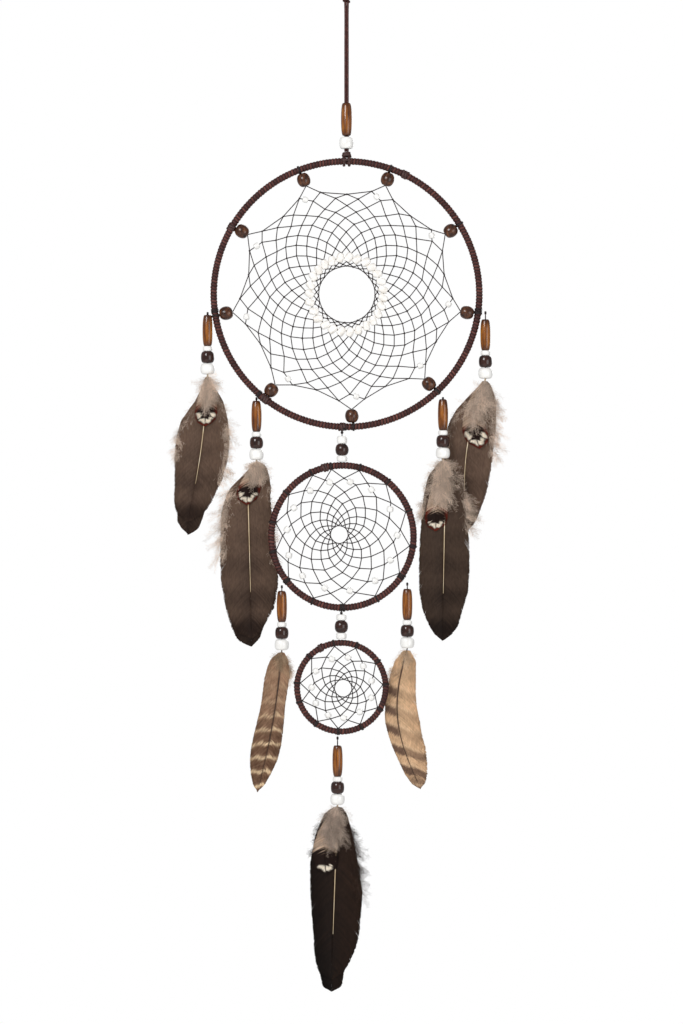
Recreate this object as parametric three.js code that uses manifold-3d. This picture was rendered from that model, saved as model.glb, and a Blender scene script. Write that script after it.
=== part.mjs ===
// Dream catcher with three wrapped hoops, nine wooden beads and seven feather pendants.
// Units are millimetres, +Z is up, and the front faces -Y.
// The origin is the point at the top of the hanging loop where a nail would carry it.
import * as THREE from "three";
import { mergeVertices } from "three/addons/utils/BufferGeometryUtils.js";
import Module from "manifold-3d";

const wasm = await Module();
wasm.setup();

// Driving dimensions
const gap = 0.3; // clearance between neighbouring pieces
const bigHoop = { x: 0, z: -270.8, radius: 97.5, tube: 2.5, core: 1.3, steps: 48 };
const middleHoop = { x: -3, z: -448.8, radius: 52.2, tube: 2.5, core: 1.3, steps: 32 };
const smallHoop = { x: -3.8, z: -559.4, radius: 32.6, tube: 2.3, core: 1.2, steps: 26 };
const netThickness = 0.8;
const strand = 0.45; // half the width of a strand of net
// Each net: radii of its knots, row by row, and its eye, placed from the hoop's centre
const bigNet = {
  rows: [75.6, 71.4, 64.9, 60.4, 56.2, 51.4, 46.2, 40.4, 34.9], eye: { x: 0.2, z: -0.4, radius: 30.3 },
};
const middleNet = {
  rows: [43.3, 38.2, 32.7, 27.5, 22.8, 18.4, 14.3, 11, 8.4], eye: { x: -2.6, z: 1.6, radius: 6.2 },
  ties: [-167.7, -142.3, -114.9, -88.8, -61.1, -32.7, -8, 21.1, 50, 75.6, 99.2, 115.9, 142, 168.5],
};
const smallNet = {
  rows: [24.6, 20.6, 16.1, 12.8, 10.3, 8.1], eye: { x: 1.7, z: -0.9, radius: 5.8 },
  ties: [-160.8, -124.6, -94.6, -63.3, -29.7, 3.6, 34.8, 70, 99.8, 136.1, 174.3],
};
const woodBead = {
  ring: 89.5, radius: 5, bore: 1, angles: [31.3, 70.3, 110.5, 149, 189, 231.9, 272.5, 312.6, 351.3],
};
const eyeRing = { count: 27, ring: 27.2, neck: 1.9, crest: 2.7, flangeInner: 20.8, flangeOuter: 26 };
const cord = { radius: 0.7, spacing: 0.8, knotTop: -166.2 };
const hangerBarrel = { top: -130.6, bottom: -154.5, radius: 4.1, end: 3, bore: 1.85 };
const hangerWhite = { top: -155.6, bottom: -164.1, radius: 5.3, end: 3.4, bore: 1.85 };
const stringRadius = 0.6;
const beadBore = 1;
const barrel = { length: 22.8, radius: 3.75, end: 2.5 };
const darkBead = { length: 8.6, radius: 4.9, end: 3.2 };
const capBead = { length: 8, radius: 5.2, end: 2.6 };
const spacerLength = 3.8;
const quillRadius = 0.8;
const quillStub = 3.5; // the quill's top, pushed up into the cap bead
const featherThickness = 1;

// Each pendant: where its thread is tied, where its beads start, and its feather.
// A feather row is [distance below the quill's top, reach to -X, reach to +X] about its axis.
const pendants = [
  {
    name: "left_outer", x: -102, y: 0, tie: -284, top: -286.2, featherTo: -14.6, back: 1.2,
    rows: [[6, 1, 1], [16, 9, 9], [34, 13, 15], [56, 20, 16], [86, 17.5, 16], [100, 11, 10], [117.5, 1, 3]],
  },
  {
    name: "left_inner", x: -66.2, y: 3.4, tie: -346.4, top: -349, featherTo: -9.5, back: 5.6,
    rows: [[8, 1, 1], [32, 14, 12], [56, 17, 14], [92, 20, 21], [118, 15, 25], [128, 7, 12], [137, 1, 2]],
  },
  {
    name: "right_inner", x: 70.8, y: 0, tie: -346.4, top: -348, featherTo: -2.2, back: 0,
    rows: [[6, 1, 1], [22, 8, 11], [48, 14, 17], [84, 16, 20], [104, 16, 19], [122, 11, 9], [133.5, 2, 2]],
  },
  {
    name: "right_outer", x: 102, y: 0, tie: -283.4, top: -289.4, featherTo: -15.5, back: 6.2,
    rows: [[6, 1, 1], [22, 12, 14], [40, 16, 17], [56, 20, 20], [76, 16, 17], [98, 11, 13], [111.5, 1, 3]],
  },
  {
    name: "left_lower", x: -47.5, y: 0, tie: -484.6, top: -488.7, featherTo: -18, back: 0,
    rows: [[8, 3, 2], [24, 9, 4.5], [52, 10, 8], [80, 9, 11], [94, 7, 13], [104, 1, 2]],
  },
  {
    name: "right_lower", x: 44.6, y: 0, tie: -482.6, top: -487.2, featherTo: 10, back: 4.4,
    rows: [[6, 3, 3], [22, 15, 5], [44, 18, 8], [68, 15, 9], [88, 9, 9], [103.5, 1, 3]],
  },
  {
    name: "bottom", x: -6.6, y: 0, tie: -595.6, top: -602.2, featherTo: -7, back: 0,
    rows: [[8, 4, 6], [30, 15, 17], [56, 18, 21], [92, 17, 20], [112, 14, 17], [126, 8, 10], [137, 2, 2]],
  },
];

const colours = {
  lace: [0x4e3028, 0.85, 0], steel: [0x8a8a88, 0.35, 1], thread: [0x33292a, 0.8, 0],
  cream: [0xf4ead6, 0.3, 0], white: [0xfffdfa, 0.25, 0], barrelWood: [0x84491e, 0.4, 0],
  roundWood: [0x6e4730, 0.4, 0], darkBead: [0x2d1c1c, 0.15, 0], brownFeather: [0x55463c, 0.75, 0],
  barredFeather: [0x8d7252, 0.75, 0], blackFeather: [0x231914, 0.75, 0],
};

const object = new THREE.Group();

function addMesh(name, geometry, finish, position = [0, 0, 0], turn = [0, 0, 0]) {
  const [color, roughness, metalness] = colours[finish];
  const mesh = new THREE.Mesh(geometry, new THREE.MeshStandardMaterial({ color, roughness, metalness }));
  mesh.name = name;
  mesh.position.set(...position);
  mesh.rotation.set(...turn);
  object.add(mesh);
  return mesh;
}

// A closed geometry as a manifold solid, after its transform is applied
function solid(geometry, matrix = new THREE.Matrix4()) {
  const plain = geometry.clone().applyMatrix4(matrix);
  plain.deleteAttribute("normal");
  plain.deleteAttribute("uv");
  const merged = mergeVertices(plain, 1e-4);
  return new wasm.Manifold(new wasm.Mesh({
    numProp: 3,
    vertProperties: new Float32Array(merged.attributes.position.array),
    triVerts: new Uint32Array(merged.index.array),
  }));
}

function toGeometry(manifold) {
  const { vertProperties, triVerts } = manifold.getMesh();
  const geometry = new THREE.BufferGeometry();
  geometry.setAttribute("position", new THREE.BufferAttribute(new Float32Array(vertProperties), 3));
  geometry.setIndex(new THREE.BufferAttribute(new Uint32Array(triVerts), 1));
  return geometry;
}

const joined = (solids) => toGeometry(solids.reduce((whole, next) => whole.add(next)));

// A bead turned about its bore: straight bore, round belly, axis along Z once it is laid over
function beadGeometry(length, radius, end, bore, sides = 10, steps = 4) {
  const half = length / 2;
  const profile = [new THREE.Vector2(bore, -half)];
  for (let i = 0; i <= steps; i++) {
    const t = -1 + (2 * i) / steps;
    profile.push(new THREE.Vector2(end + (radius - end) * Math.sqrt(1 - t * t), t * half));
  }
  profile.push(new THREE.Vector2(bore, half), new THREE.Vector2(bore, -half));
  return new THREE.LatheGeometry(profile, sides).rotateX(Math.PI / 2);
}

function addBead(name, finish, bead, x, y, zTop) {
  const geometry = beadGeometry(bead.length, bead.radius, bead.end, bead.bore ?? beadBore);
  return addMesh(name, geometry, finish, [x, y, zTop - bead.length / 2]);
}

// A round rod between two points
function rod(from, to, radius, sides = 8) {
  const start = new THREE.Vector3(...from);
  const span = new THREE.Vector3(...to).sub(start);
  const geometry = new THREE.CylinderGeometry(radius, radius, span.length(), sides);
  const upright = new THREE.Vector3(0, 1, 0);
  const turn = new THREE.Quaternion().setFromUnitVectors(upright, span.clone().normalize());
  geometry.applyQuaternion(turn);
  return geometry.translate(...start.addScaledVector(span, 0.5));
}

// A hoop: solid core ring, and round it the wound lace as a pipe that is slit just past its last turn
function addHoop(name, hoop) {
  const core = new THREE.TorusGeometry(hoop.radius, hoop.core, 6, hoop.steps).rotateX(Math.PI / 2);
  addMesh(`${name}_core`, core, "steel", [hoop.x, 0, hoop.z]);
  const section = new THREE.Shape().absarc(0, 0, hoop.tube, 0, 2 * Math.PI);
  section.holes.push(new THREE.Path().absarc(0, 0, hoop.core + gap, 0, 2 * Math.PI, true));
  const slit = gap / hoop.radius;
  class Round extends THREE.Curve {
    getPoint(t, target = new THREE.Vector3()) {
      const angle = Math.PI / 4 + slit / 2 + t * (2 * Math.PI - slit);
      return target.set(hoop.radius * Math.cos(angle), 0, hoop.radius * Math.sin(angle));
    }
  }
  const pipe = { steps: hoop.steps, curveSegments: 4, extrudePath: new Round() };
  addMesh(`${name}_wrap`, new THREE.ExtrudeGeometry(section, pipe), "lace", [hoop.x, 0, hoop.z]);
}

// Angles halfway between each knot of a row and the next one round
function between(angles, backwards = false) {
  const middles = angles.map((angle, i) => (angle + (angles[i + 1] ?? angles[0] + 360)) / 2);
  return backwards ? [middles.at(-1) - 360, ...middles.slice(0, -1)] : middles;
}

// A knot's place; the rows' centre drifts from the hoop's centre to the eye as the rows tighten
function knot(angle, radius, eye, hoopRadius) {
  const a = THREE.MathUtils.degToRad(angle);
  const drift = 1 - radius / hoopRadius;
  return new THREE.Vector2(eye.x * drift + radius * Math.cos(a), eye.z * drift + radius * Math.sin(a));
}

// A cell's corners drawn in by half a strand, or nothing where the cell is too tight to stay open
function cellHole(corners) {
  const centre = corners.reduce((sum, p) => sum.add(p), new THREE.Vector2()).divideScalar(corners.length);
  const area = Math.abs(THREE.ShapeUtils.area(corners));
  const edge = corners.reduce((sum, p, i) => sum + p.distanceTo(corners.at(i - 1)), 0);
  const share = 1 - (strand * edge) / (2 * area);
  if (share < 0.3) return [];
  return [new THREE.Path(corners.map((p) => p.clone().sub(centre).multiplyScalar(share).add(centre)))];
}

// A flat net: rows of knots, each ring half a step on from the last, with an open cell between
// every four knots and a round eye. outline is the edge, and firstCells are the cells against it.
// oddAhead says whether the odd rings lie half a step ahead of the even ones, or behind them.
function netGeometry(outline, rings, oddAhead, firstCells, eye, eyeSides) {
  const shape = new THREE.Shape(outline);
  shape.holes.push(new THREE.Path().absarc(eye.x, eye.z, eye.radius, 0, 2 * Math.PI, true));
  for (const corners of firstCells) shape.holes.push(...cellHole(corners));
  for (let row = 1; row + 1 < rings.length; row++) {
    const count = rings[row].length;
    for (let i = 0; i < count; i++) {
      const [left, right] = [rings[row][i], rings[row][(i + 1) % count]];
      const tip = (row % 2 === 1) === oddAhead ? (i + 1) % count : i;
      shape.holes.push(...cellHole([left, rings[row - 1][tip], right, rings[row + 1][tip]]));
    }
  }
  const plate = new THREE.ExtrudeGeometry(shape, {
    depth: netThickness, bevelEnabled: false, curveSegments: eyeSides,
  });
  return plate.translate(0, 0, -netThickness / 2).rotateX(Math.PI / 2);
}

// A net tied straight to its hoop at uneven points
function addTiedNet(name, hoop, net) {
  const edge = hoop.radius - hoop.tube - gap;
  const sagPerDegree = 0.0042; // the wider two ties stand apart, the deeper the thread bows in
  const rings = [net.ties.map((angle) => knot(angle, edge, net.eye, hoop.radius))];
  let angles = net.ties;
  net.rows.forEach((radius, row) => {
    angles = between(angles, row % 2 === 1);
    rings.push(angles.map((angle) => knot(angle, radius, net.eye, hoop.radius)));
  });
  const middles = between(net.ties);
  const bows = middles.map((angle, i) => {
    const sag = sagPerDegree * (angle - net.ties[i]);
    return knot(angle, edge * (1 - sag), net.eye, hoop.radius);
  });
  const outline = rings[0].flatMap((tie, i) => [tie, bows[i]]);
  const firstCells = bows.map((bow, i) => [
    rings[0][i].clone().lerp(rings[1][i], 0.12), bow,
    rings[0][(i + 1) % rings[0].length].clone().lerp(rings[1][i], 0.12), rings[1][i]]);
  addMesh(name, netGeometry(outline, rings, true, firstCells, net.eye, 16), "thread", [hoop.x, 0, hoop.z]);
}

// Hanging cord: one lace, up from the knot, over the nail and down again beside itself
const cordRoute = [
  [-cord.spacing, 0, cord.knotTop], [-cord.spacing, 0, -150], [-cord.spacing, 0, -120],
  [-cord.spacing, 0, -90], [-cord.spacing, 0, -62], [-1.5, 0, -50], [-3.6, 0, -38],
  [-5.2, 0, -24], [-4.6, 0, -9], [-2.5, 0, -2.2], [0, 0, -0.7], [2.5, 0, -2.2],
  [4.6, 0, -9], [5.2, 0, -24], [3.6, 0, -38], [1.5, 0, -50], [cord.spacing, 0, -62],
  [cord.spacing, 0, -90], [cord.spacing, 0, -120], [cord.spacing, 0, -150],
  [cord.spacing, 0, cord.knotTop],
];
const cordCurve = new THREE.CatmullRomCurve3(cordRoute.map((p) => new THREE.Vector3(...p)));
const cordSection = new THREE.Shape().absarc(0, 0, cord.radius, 0, 2 * Math.PI);
addMesh("hanging_cord", new THREE.ExtrudeGeometry(cordSection, {
  steps: 60, curveSegments: 4, extrudePath: cordCurve,
}), "lace");
for (const [name, finish, bead] of [
  ["hanger_barrel_bead", "barrelWood", hangerBarrel], ["hanger_white_bead", "white", hangerWhite],
]) {
  const length = bead.top - bead.bottom;
  const geometry = beadGeometry(length, bead.radius, bead.end, bead.bore);
  addMesh(name, geometry, finish, [0, 0, bead.top - length / 2]);
}

// Cow hitch on the top of the big hoop: two turns round it, a bar across the front and a neck
const hoopTop = bigHoop.z + bigHoop.radius;
const laceRadius = 0.75;
const turnRadius = bigHoop.tube + gap + laceRadius;
const hitchTurn = new THREE.TorusGeometry(turnRadius, laceRadius, 6, 14).rotateY(Math.PI / 2);
const neckTop = cord.knotTop - gap;
addMesh("hanger_knot", joined([
  solid(hitchTurn.clone().translate(-1.1, 0, hoopTop)),
  solid(hitchTurn.clone().translate(1.1, 0, hoopTop)),
  solid(rod([-2.4, -turnRadius, hoopTop], [2.4, -turnRadius, hoopTop], laceRadius + 0.2)),
  solid(rod([0, 0, hoopTop + turnRadius - 0.4], [0, 0, neckTop], 2)),
]), "lace");

addHoop("big_hoop", bigHoop);
// Three knots of the first row hang between each two wooden beads
const thirds = woodBead.angles.flatMap((angle, k) => {
  const step = ((woodBead.angles[k + 1] ?? woodBead.angles[0] + 360) - angle) / 3;
  return [angle, angle + step, angle + 2 * step];
});
const firstRow = { besideBead: 77.8, midSpan: 73.7, underBead: 73.2, beadTip: 83.6 };
const bigRings = bigNet.rows.map((radius, row) => {
  const angles = row % 2 ? thirds : between(thirds);
  return angles.map((angle, i) => {
    const first = i % 3 === 1 ? firstRow.midSpan : firstRow.besideBead;
    const second = i % 3 === 0 ? firstRow.underBead : radius;
    return knot(angle, [first, second][row] ?? radius, bigNet.eye, bigHoop.radius);
  });
});
bigRings.push((bigNet.rows.length % 2 ? thirds : between(thirds)).map(
  (angle) => knot(angle, bigNet.eye.radius + 0.6, bigNet.eye, bigHoop.radius)));
const beadTips = woodBead.angles.map((angle) => knot(angle, firstRow.beadTip, bigNet.eye, bigHoop.radius));
const bigOutline = bigRings[0].flatMap((point, i) => (i % 3 === 0 ? [beadTips[i / 3], point] : [point]));
const bigFirstCells = bigRings[1].map((inner, i) => {
  const [before, after] = [bigRings[0].at(i - 1), bigRings[0][i]];
  if (i % 3) return [before, after, inner];
  return [before, beadTips[i / 3].clone().lerp(inner, 0.1), after, inner];
});
addMesh("big_web", netGeometry(bigOutline, bigRings, false, bigFirstCells, bigNet.eye, 27), "thread",
  [bigHoop.x, 0, bigHoop.z]);
woodBead.angles.forEach((angle, k) => {
  const a = THREE.MathUtils.degToRad(angle);
  const geometry = beadGeometry(2 * woodBead.radius, woodBead.radius, 1.6, woodBead.bore);
  const place = [bigHoop.x + woodBead.ring * Math.cos(a), 0, bigHoop.z + woodBead.ring * Math.sin(a)];
  addMesh(`wood_bead_${k + 1}`, geometry, "roundWood", place, [0, Math.PI / 2 - a, 0]);
});

// Ring of cream beads round the eye, with the tight rows of thread inside them as a thin flange
const beadedRing = new THREE.TorusGeometry(eyeRing.ring, eyeRing.crest, 6, 2 * eyeRing.count);
const ringPoints = beadedRing.attributes.position;
for (let i = 0; i < ringPoints.count; i++) {
  const p = new THREE.Vector3().fromBufferAttribute(ringPoints, i);
  const angle = Math.atan2(p.y, p.x);
  const middle = new THREE.Vector3(Math.cos(angle), Math.sin(angle), 0).multiplyScalar(eyeRing.ring);
  const atCrest = Math.cos(angle * eyeRing.count) > 0;
  const share = atCrest ? 1 : eyeRing.neck / eyeRing.crest;
  p.sub(middle).multiplyScalar(share).add(middle);
  ringPoints.setXYZ(i, p.x, p.y, p.z);
}
const flangeShape = new THREE.Shape().absarc(0, 0, eyeRing.flangeOuter, 0, 2 * Math.PI);
flangeShape.holes.push(new THREE.Path().absarc(0, 0, eyeRing.flangeInner, 0, 2 * Math.PI, true));
const flange = new THREE.ExtrudeGeometry(flangeShape, {
  depth: netThickness, bevelEnabled: false, curveSegments: 18,
}).translate(0, 0, -netThickness / 2);
addMesh("eye_bead_ring", joined([solid(beadedRing), solid(flange)]).rotateX(Math.PI / 2), "cream",
  [bigHoop.x, 0, bigHoop.z]);

// A link between hoops: knot and thread, white bead, dark bead, white bead
function addLink(name, x, z, beads) {
  const zEnd = beads.at(-1).bottom;
  const parts = beads.map(({ top, bottom, radius }) => solid(
    beadGeometry(top - bottom, radius, radius * 0.62, 0.3).translate(x, 0, (top + bottom) / 2)));
  parts.push(solid(rod([x, 0, z], [x, 0, zEnd], stringRadius)));
  addMesh(name, joined(parts), "darkBead");
}

addLink("upper_link", -3.3, -371.2, [
  { top: -375, bottom: -380.7, radius: 3.9 }, { top: -380.6, bottom: -389.5, radius: 4.9 },
  { top: -389.4, bottom: -393.7, radius: 3.9 },
]);
addHoop("middle_hoop", middleHoop);
addTiedNet("middle_web", middleHoop, middleNet);

addLink("lower_link", -3.8, -503.9, [
  { top: -506, bottom: -510.4, radius: 3.6 }, { top: -510.3, bottom: -519.6, radius: 4.9 },
  { top: -519.5, bottom: -524, radius: 3.9 },
]);
addHoop("small_hoop", smallHoop);
addTiedNet("small_web", smallHoop, smallNet);

// A feather: a thin blade whose outline runs down one side of the axis and up the other.
// It leans by featherTo in X and by back in Y between the quill's top and its tip.
function featherGeometry(pendant, zTop) {
  const length = pendant.rows.at(-1)[0];
  const lean = pendant.featherTo / length;
  const side = (index, sign) => new THREE.SplineCurve(
    pendant.rows.map((row) => new THREE.Vector2(row[0] * lean + sign * row[index], -row[0]))).getPoints(12);
  const left = side(1, -1);
  const right = side(2, 1).reverse();
  const blade = new THREE.ExtrudeGeometry(new THREE.Shape([...left, ...right]), {
    depth: featherThickness, bevelEnabled: false,
  }).translate(0, 0, -featherThickness / 2).rotateX(Math.PI / 2);
  const quillEnd = pendant.rows[1][0];
  const quill = rod([0, 0, 0], [quillEnd * lean, 0, -quillEnd], quillRadius);
  const stub = rod([0, 0, -quillRadius], [0, 0, quillStub], stringRadius);
  const whole = joined([solid(blade), solid(quill), solid(stub)]);
  // the blade steps back over its first stretch and then hangs straight
  const points = whole.attributes.position;
  const stepBack = pendant.back - pendant.y;
  for (let i = 0; i < points.count; i++) {
    const t = THREE.MathUtils.clamp(-points.getZ(i) / quillEnd, 0, 1);
    points.setY(i, points.getY(i) + pendant.y + stepBack * t);
  }
  return whole.translate(pendant.x, 0, zTop);
}

// A pendant: thread, barrel bead, space for a small white bead, dark bead, cap bead and feather
function addPendant(pendant, featherFinish) {
  const { name, x, y, tie, top } = pendant;
  const darkTop = top - barrel.length - spacerLength;
  const capTop = darkTop - darkBead.length - gap;
  const capBottom = capTop - capBead.length;
  const featherTop = capBottom - gap;
  const knotEnd = featherTop + quillStub + gap;
  addMesh(`${name}_string`, rod([x, y, tie], [x, y, knotEnd], stringRadius), "thread");
  addBead(`${name}_barrel_bead`, "barrelWood", barrel, x, y, top);
  addBead(`${name}_dark_bead`, "darkBead", darkBead, x, y, darkTop);
  addBead(`${name}_cap_bead`, "white", capBead, x, y, capTop);
  addMesh(`${name}_feather`, featherGeometry(pendant, featherTop), featherFinish);
}

const featherFinishes = {
  left_lower: "barredFeather", right_lower: "barredFeather", bottom: "blackFeather",
};
for (const pendant of pendants) addPendant(pendant, featherFinishes[pendant.name] ?? "brownFeather");

export default object;
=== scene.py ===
import bpy
import numpy as np
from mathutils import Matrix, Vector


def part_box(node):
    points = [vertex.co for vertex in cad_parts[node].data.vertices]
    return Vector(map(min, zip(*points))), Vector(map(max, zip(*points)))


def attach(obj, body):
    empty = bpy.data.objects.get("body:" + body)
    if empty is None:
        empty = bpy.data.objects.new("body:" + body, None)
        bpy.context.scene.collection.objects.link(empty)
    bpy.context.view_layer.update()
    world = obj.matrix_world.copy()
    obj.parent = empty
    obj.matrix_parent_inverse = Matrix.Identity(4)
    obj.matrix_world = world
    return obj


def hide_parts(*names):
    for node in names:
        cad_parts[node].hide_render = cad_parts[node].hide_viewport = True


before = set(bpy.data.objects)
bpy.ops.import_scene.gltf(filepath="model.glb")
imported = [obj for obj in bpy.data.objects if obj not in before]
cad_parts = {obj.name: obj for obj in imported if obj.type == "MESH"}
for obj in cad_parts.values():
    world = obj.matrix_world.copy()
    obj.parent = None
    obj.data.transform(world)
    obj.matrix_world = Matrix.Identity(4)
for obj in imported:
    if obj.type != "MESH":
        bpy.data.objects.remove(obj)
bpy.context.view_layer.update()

mm = 0.001
tau = 2 * np.pi
print("frame loaded")


# shapes: every surface is a whole array of points

def unit(v):
    # each vector divided by its own length
    return v / np.maximum(np.linalg.norm(v, axis=-1, keepdims=True), 1e-12)


def sweep(path, normal, halfWidth, halfThick, sides=8):
    # an ellipse carried along many paths at once: point = path + thick*cos(b)*N + width*sin(b)*B,
    # with N the given normal made square to the path's tangent T, and B = T x N
    path = np.asarray(path, float)
    if path.ndim == 2:
        path = path[None]
    tangent = unit(np.gradient(path, axis=1))
    normal = np.broadcast_to(np.asarray(normal, float), path.shape)
    normal = unit(normal - (normal * tangent).sum(-1, keepdims=True) * tangent)
    side = np.cross(tangent, normal)
    width = np.broadcast_to(halfWidth, path.shape[:2])[:, :, None, None]
    thick = np.broadcast_to(halfThick, path.shape[:2])[:, :, None, None]
    b = np.arange(sides) * tau / sides
    ring = (thick * np.cos(b)[None, None, :, None] * normal[:, :, None]
            + width * np.sin(b)[None, None, :, None] * side[:, :, None])
    return path[:, :, None] + ring


def gridFaces(count, rows, cols, closeRows=False):
    # quads of many rows x cols grids, closed across the columns, with flat caps on open ends
    r = np.arange(rows if closeRows else rows - 1)
    c = np.arange(cols)
    base = (np.arange(count) * rows * cols)[:, None, None]
    r0, r1 = r[None, :, None] * cols, ((r + 1) % rows)[None, :, None] * cols
    c0, c1 = c[None, None, :], ((c + 1) % cols)[None, None, :]
    quads = np.stack([base + r0 + c0, base + r0 + c1, base + r1 + c1, base + r1 + c0], -1)
    faces = quads.reshape(-1, 4).tolist()
    if not closeRows:
        first = base[:, 0] + np.arange(cols)[::-1]
        last = base[:, 0] + (rows - 1) * cols + np.arange(cols)
        faces += first.tolist() + last.tolist()
    return faces


def openRows(shapes):
    return [(shape, False) for shape in shapes]


def makePiece(name, shape, body, material, node=(), closed=False, extra=None):
    # one grid as a piece: shape is (count, rows, cols, 3) in metres
    return makeJoined(name, [(shape, closed)], body, material, node, None, extra)


def makeJoined(name, parts, body, material, node=(), colour=None, extra=None):
    # grids of different sizes as one piece, each with whether its last row joins its first
    points, faces, offset = [], [], 0
    for shape, closed in parts:
        shape = np.asarray(shape, float)
        shape = shape[None] if shape.ndim == 3 else shape
        count, rows, cols = shape.shape[:3]
        points.append(shape.reshape(-1, 3))
        faces += [[i + offset for i in f] for f in gridFaces(count, rows, cols, closed)]
        offset += count * rows * cols
    mesh = bpy.data.meshes.new(name)
    mesh.from_pydata(np.concatenate(points), [], faces)
    return finishPiece(name, mesh, body, material, node, colour, extra)


def makeTinted(name, parts, body, node=()):
    # grids of vane or down, each with the colours of its points
    tint = np.concatenate([colours.reshape(-1, 3) for _, colours in parts])
    return makeJoined(name, openRows([shape for shape, _ in parts]), body, vane, node, tint)


def finishPiece(name, mesh, body, material, node=(), colour=None, extra=None):
    # colour and extra hold one value for each point
    mesh.update()
    if colour is not None:
        rgba = np.ones((len(mesh.vertices), 4), np.float32)
        rgba[:, :3] = np.clip(np.asarray(colour).reshape(-1, 3), 0, 1)
        layer = mesh.color_attributes.new("tint", "FLOAT_COLOR", "POINT")
        layer.data.foreach_set("color", rgba.ravel())
    for key, value in (extra or {}).items():
        layer = mesh.attributes.new(key, "FLOAT", "POINT")
        layer.data.foreach_set("value", np.asarray(value, np.float32).ravel())
    mesh.polygons.foreach_set("use_smooth", np.ones(len(mesh.polygons), bool))
    piece = bpy.data.objects.new(name, mesh)
    bpy.context.collection.objects.link(piece)
    mesh.materials.append(material)
    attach(piece, body)
    if node:
        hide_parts(*([node] if isinstance(node, str) else node))
    return piece


def beadProfile(length, radius, end, bore, roundness=2.0, steps=12, lip=0.12):
    # radius by height: a superellipse belly from end to radius, with a rounded lip into the bore
    t = -np.cos(np.linspace(0, np.pi, steps))
    belly = end + (radius - end) * np.clip(1 - np.abs(t) ** roundness, 0, 1) ** (1 / roundness)
    outer = np.stack([belly, t * length / 2], -1)
    half = length / 2
    mouth = np.array([[bore + lip * (end - bore), half], [bore, half - lip * length * 0.3]])
    low = mouth[::-1] * [1, -1]
    return np.concatenate([low, outer, mouth]) * mm


def turnBeads(profile, centres, axes, sides=28):
    # each profile turned about its own axis: point = centre + h*axis + r*(cos(b)*u + sin(b)*v)
    centres, axes = np.atleast_2d(centres), unit(np.atleast_2d(np.asarray(axes, float)))
    u = unit(np.cross(axes, np.array([0.31, 0.9, 0.3])))
    v = np.cross(axes, u)
    b = np.arange(sides) * tau / sides
    r, h = profile[:, 0], profile[:, 1]
    ring = (np.cos(b)[None, :, None] * u[:, None] + np.sin(b)[None, :, None] * v[:, None])
    return (centres[:, None, None] + h[None, :, None, None] * axes[:, None, None]
            + r[None, :, None, None] * ring[:, None])


def blobs(centres, radii, rows=5, sides=6):
    # many small closed balls, squeezed by their three radii
    b = np.arange(sides) * tau / sides
    a = np.linspace(0.12, np.pi - 0.12, rows)
    ball = np.stack([np.sin(a)[:, None] * np.cos(b), np.sin(a)[:, None] * np.sin(b),
                     np.broadcast_to(np.cos(a)[:, None], (rows, sides))], -1)
    radii = np.broadcast_to(np.asarray(radii, float), (len(centres), 3))
    return np.asarray(centres)[:, None, None] + (ball[None] * radii[:, None, None])[:, ::-1]


# camera, light and floor

stageSettings = {
    "distance": 2.5, "lens": 119.7, "centre": (-0.0037, -0.4308), "ambient": 0.45, "aim": (0, 0, -0.42),
    # each lamp: place, size in metres, power in watts
    "lamps": {"keyLight": ((-1.1, -1.9, 0.6), 0.9, 33), "fillLight": ((1.3, -1.6, -0.5), 1.2, 11),
              "backLight": ((0.6, 1.6, 0.3), 1.2, 11)},
    "floor": {"halfWidth": 1.6, "near": -2.2, "far": 1.05, "height": -0.99, "colour": (0.86, 0.86, 0.85)},
}


def makeStage(s):
    camera = bpy.data.cameras.new("camera")
    camera.lens = s["lens"]
    seat = bpy.data.objects.new("camera", camera)
    seat.location = (s["centre"][0], -s["distance"], s["centre"][1])
    seat.rotation_euler = (np.pi / 2, 0, 0)
    bpy.context.collection.objects.link(seat)
    bpy.context.scene.camera = seat
    bpy.context.scene.view_settings.view_transform = "Standard"

    world = bpy.data.worlds.new("paleRoom")
    bpy.context.scene.world = world
    world.use_nodes = True
    nodes, links = world.node_tree.nodes, world.node_tree.links
    lighting = nodes["Background"]
    lighting.inputs["Strength"].default_value = s["ambient"]
    lighting.inputs["Color"].default_value = (0.97, 0.98, 1, 1)
    seen = nodes.new("ShaderNodeBackground")
    seen.inputs["Color"].default_value = (1, 1, 1, 1)
    mix, path = nodes.new("ShaderNodeMixShader"), nodes.new("ShaderNodeLightPath")
    links.new(path.outputs["Is Camera Ray"], mix.inputs[0])
    links.new(lighting.outputs[0], mix.inputs[1])
    links.new(seen.outputs[0], mix.inputs[2])
    links.new(mix.outputs[0], nodes["World Output"].inputs[0])

    for name, (place, size, power) in s["lamps"].items():
        lamp = bpy.data.lights.new(name, "AREA")
        lamp.size, lamp.energy = size, power
        lampSeat = bpy.data.objects.new(name, lamp)
        lampSeat.location = place
        towards = np.array(s["aim"]) - np.array(place)
        yaw = np.arctan2(towards[1], towards[0]) - np.pi / 2
        tilt = np.arctan2(np.hypot(towards[0], towards[1]), -towards[2])
        lampSeat.rotation_euler = (tilt, 0, yaw)
        bpy.context.collection.objects.link(lampSeat)

    # the floor lies below the view and ends a little behind the object
    f = s["floor"]
    x, y0, y1, z = f["halfWidth"], f["near"], f["far"], f["height"]
    mesh = bpy.data.meshes.new("floor")
    mesh.from_pydata([(-x, y0, z), (x, y0, z), (x, y1, z), (-x, y1, z)], [], [(0, 1, 2, 3)])
    floor = bpy.data.objects.new("floor", mesh)
    bpy.context.collection.objects.link(floor)
    paint, _, surface = shader("floorPaint", 0.8)
    surface.inputs["Base Color"].default_value = (*f["colour"], 1)
    mesh.materials.append(paint)


# materials

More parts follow.
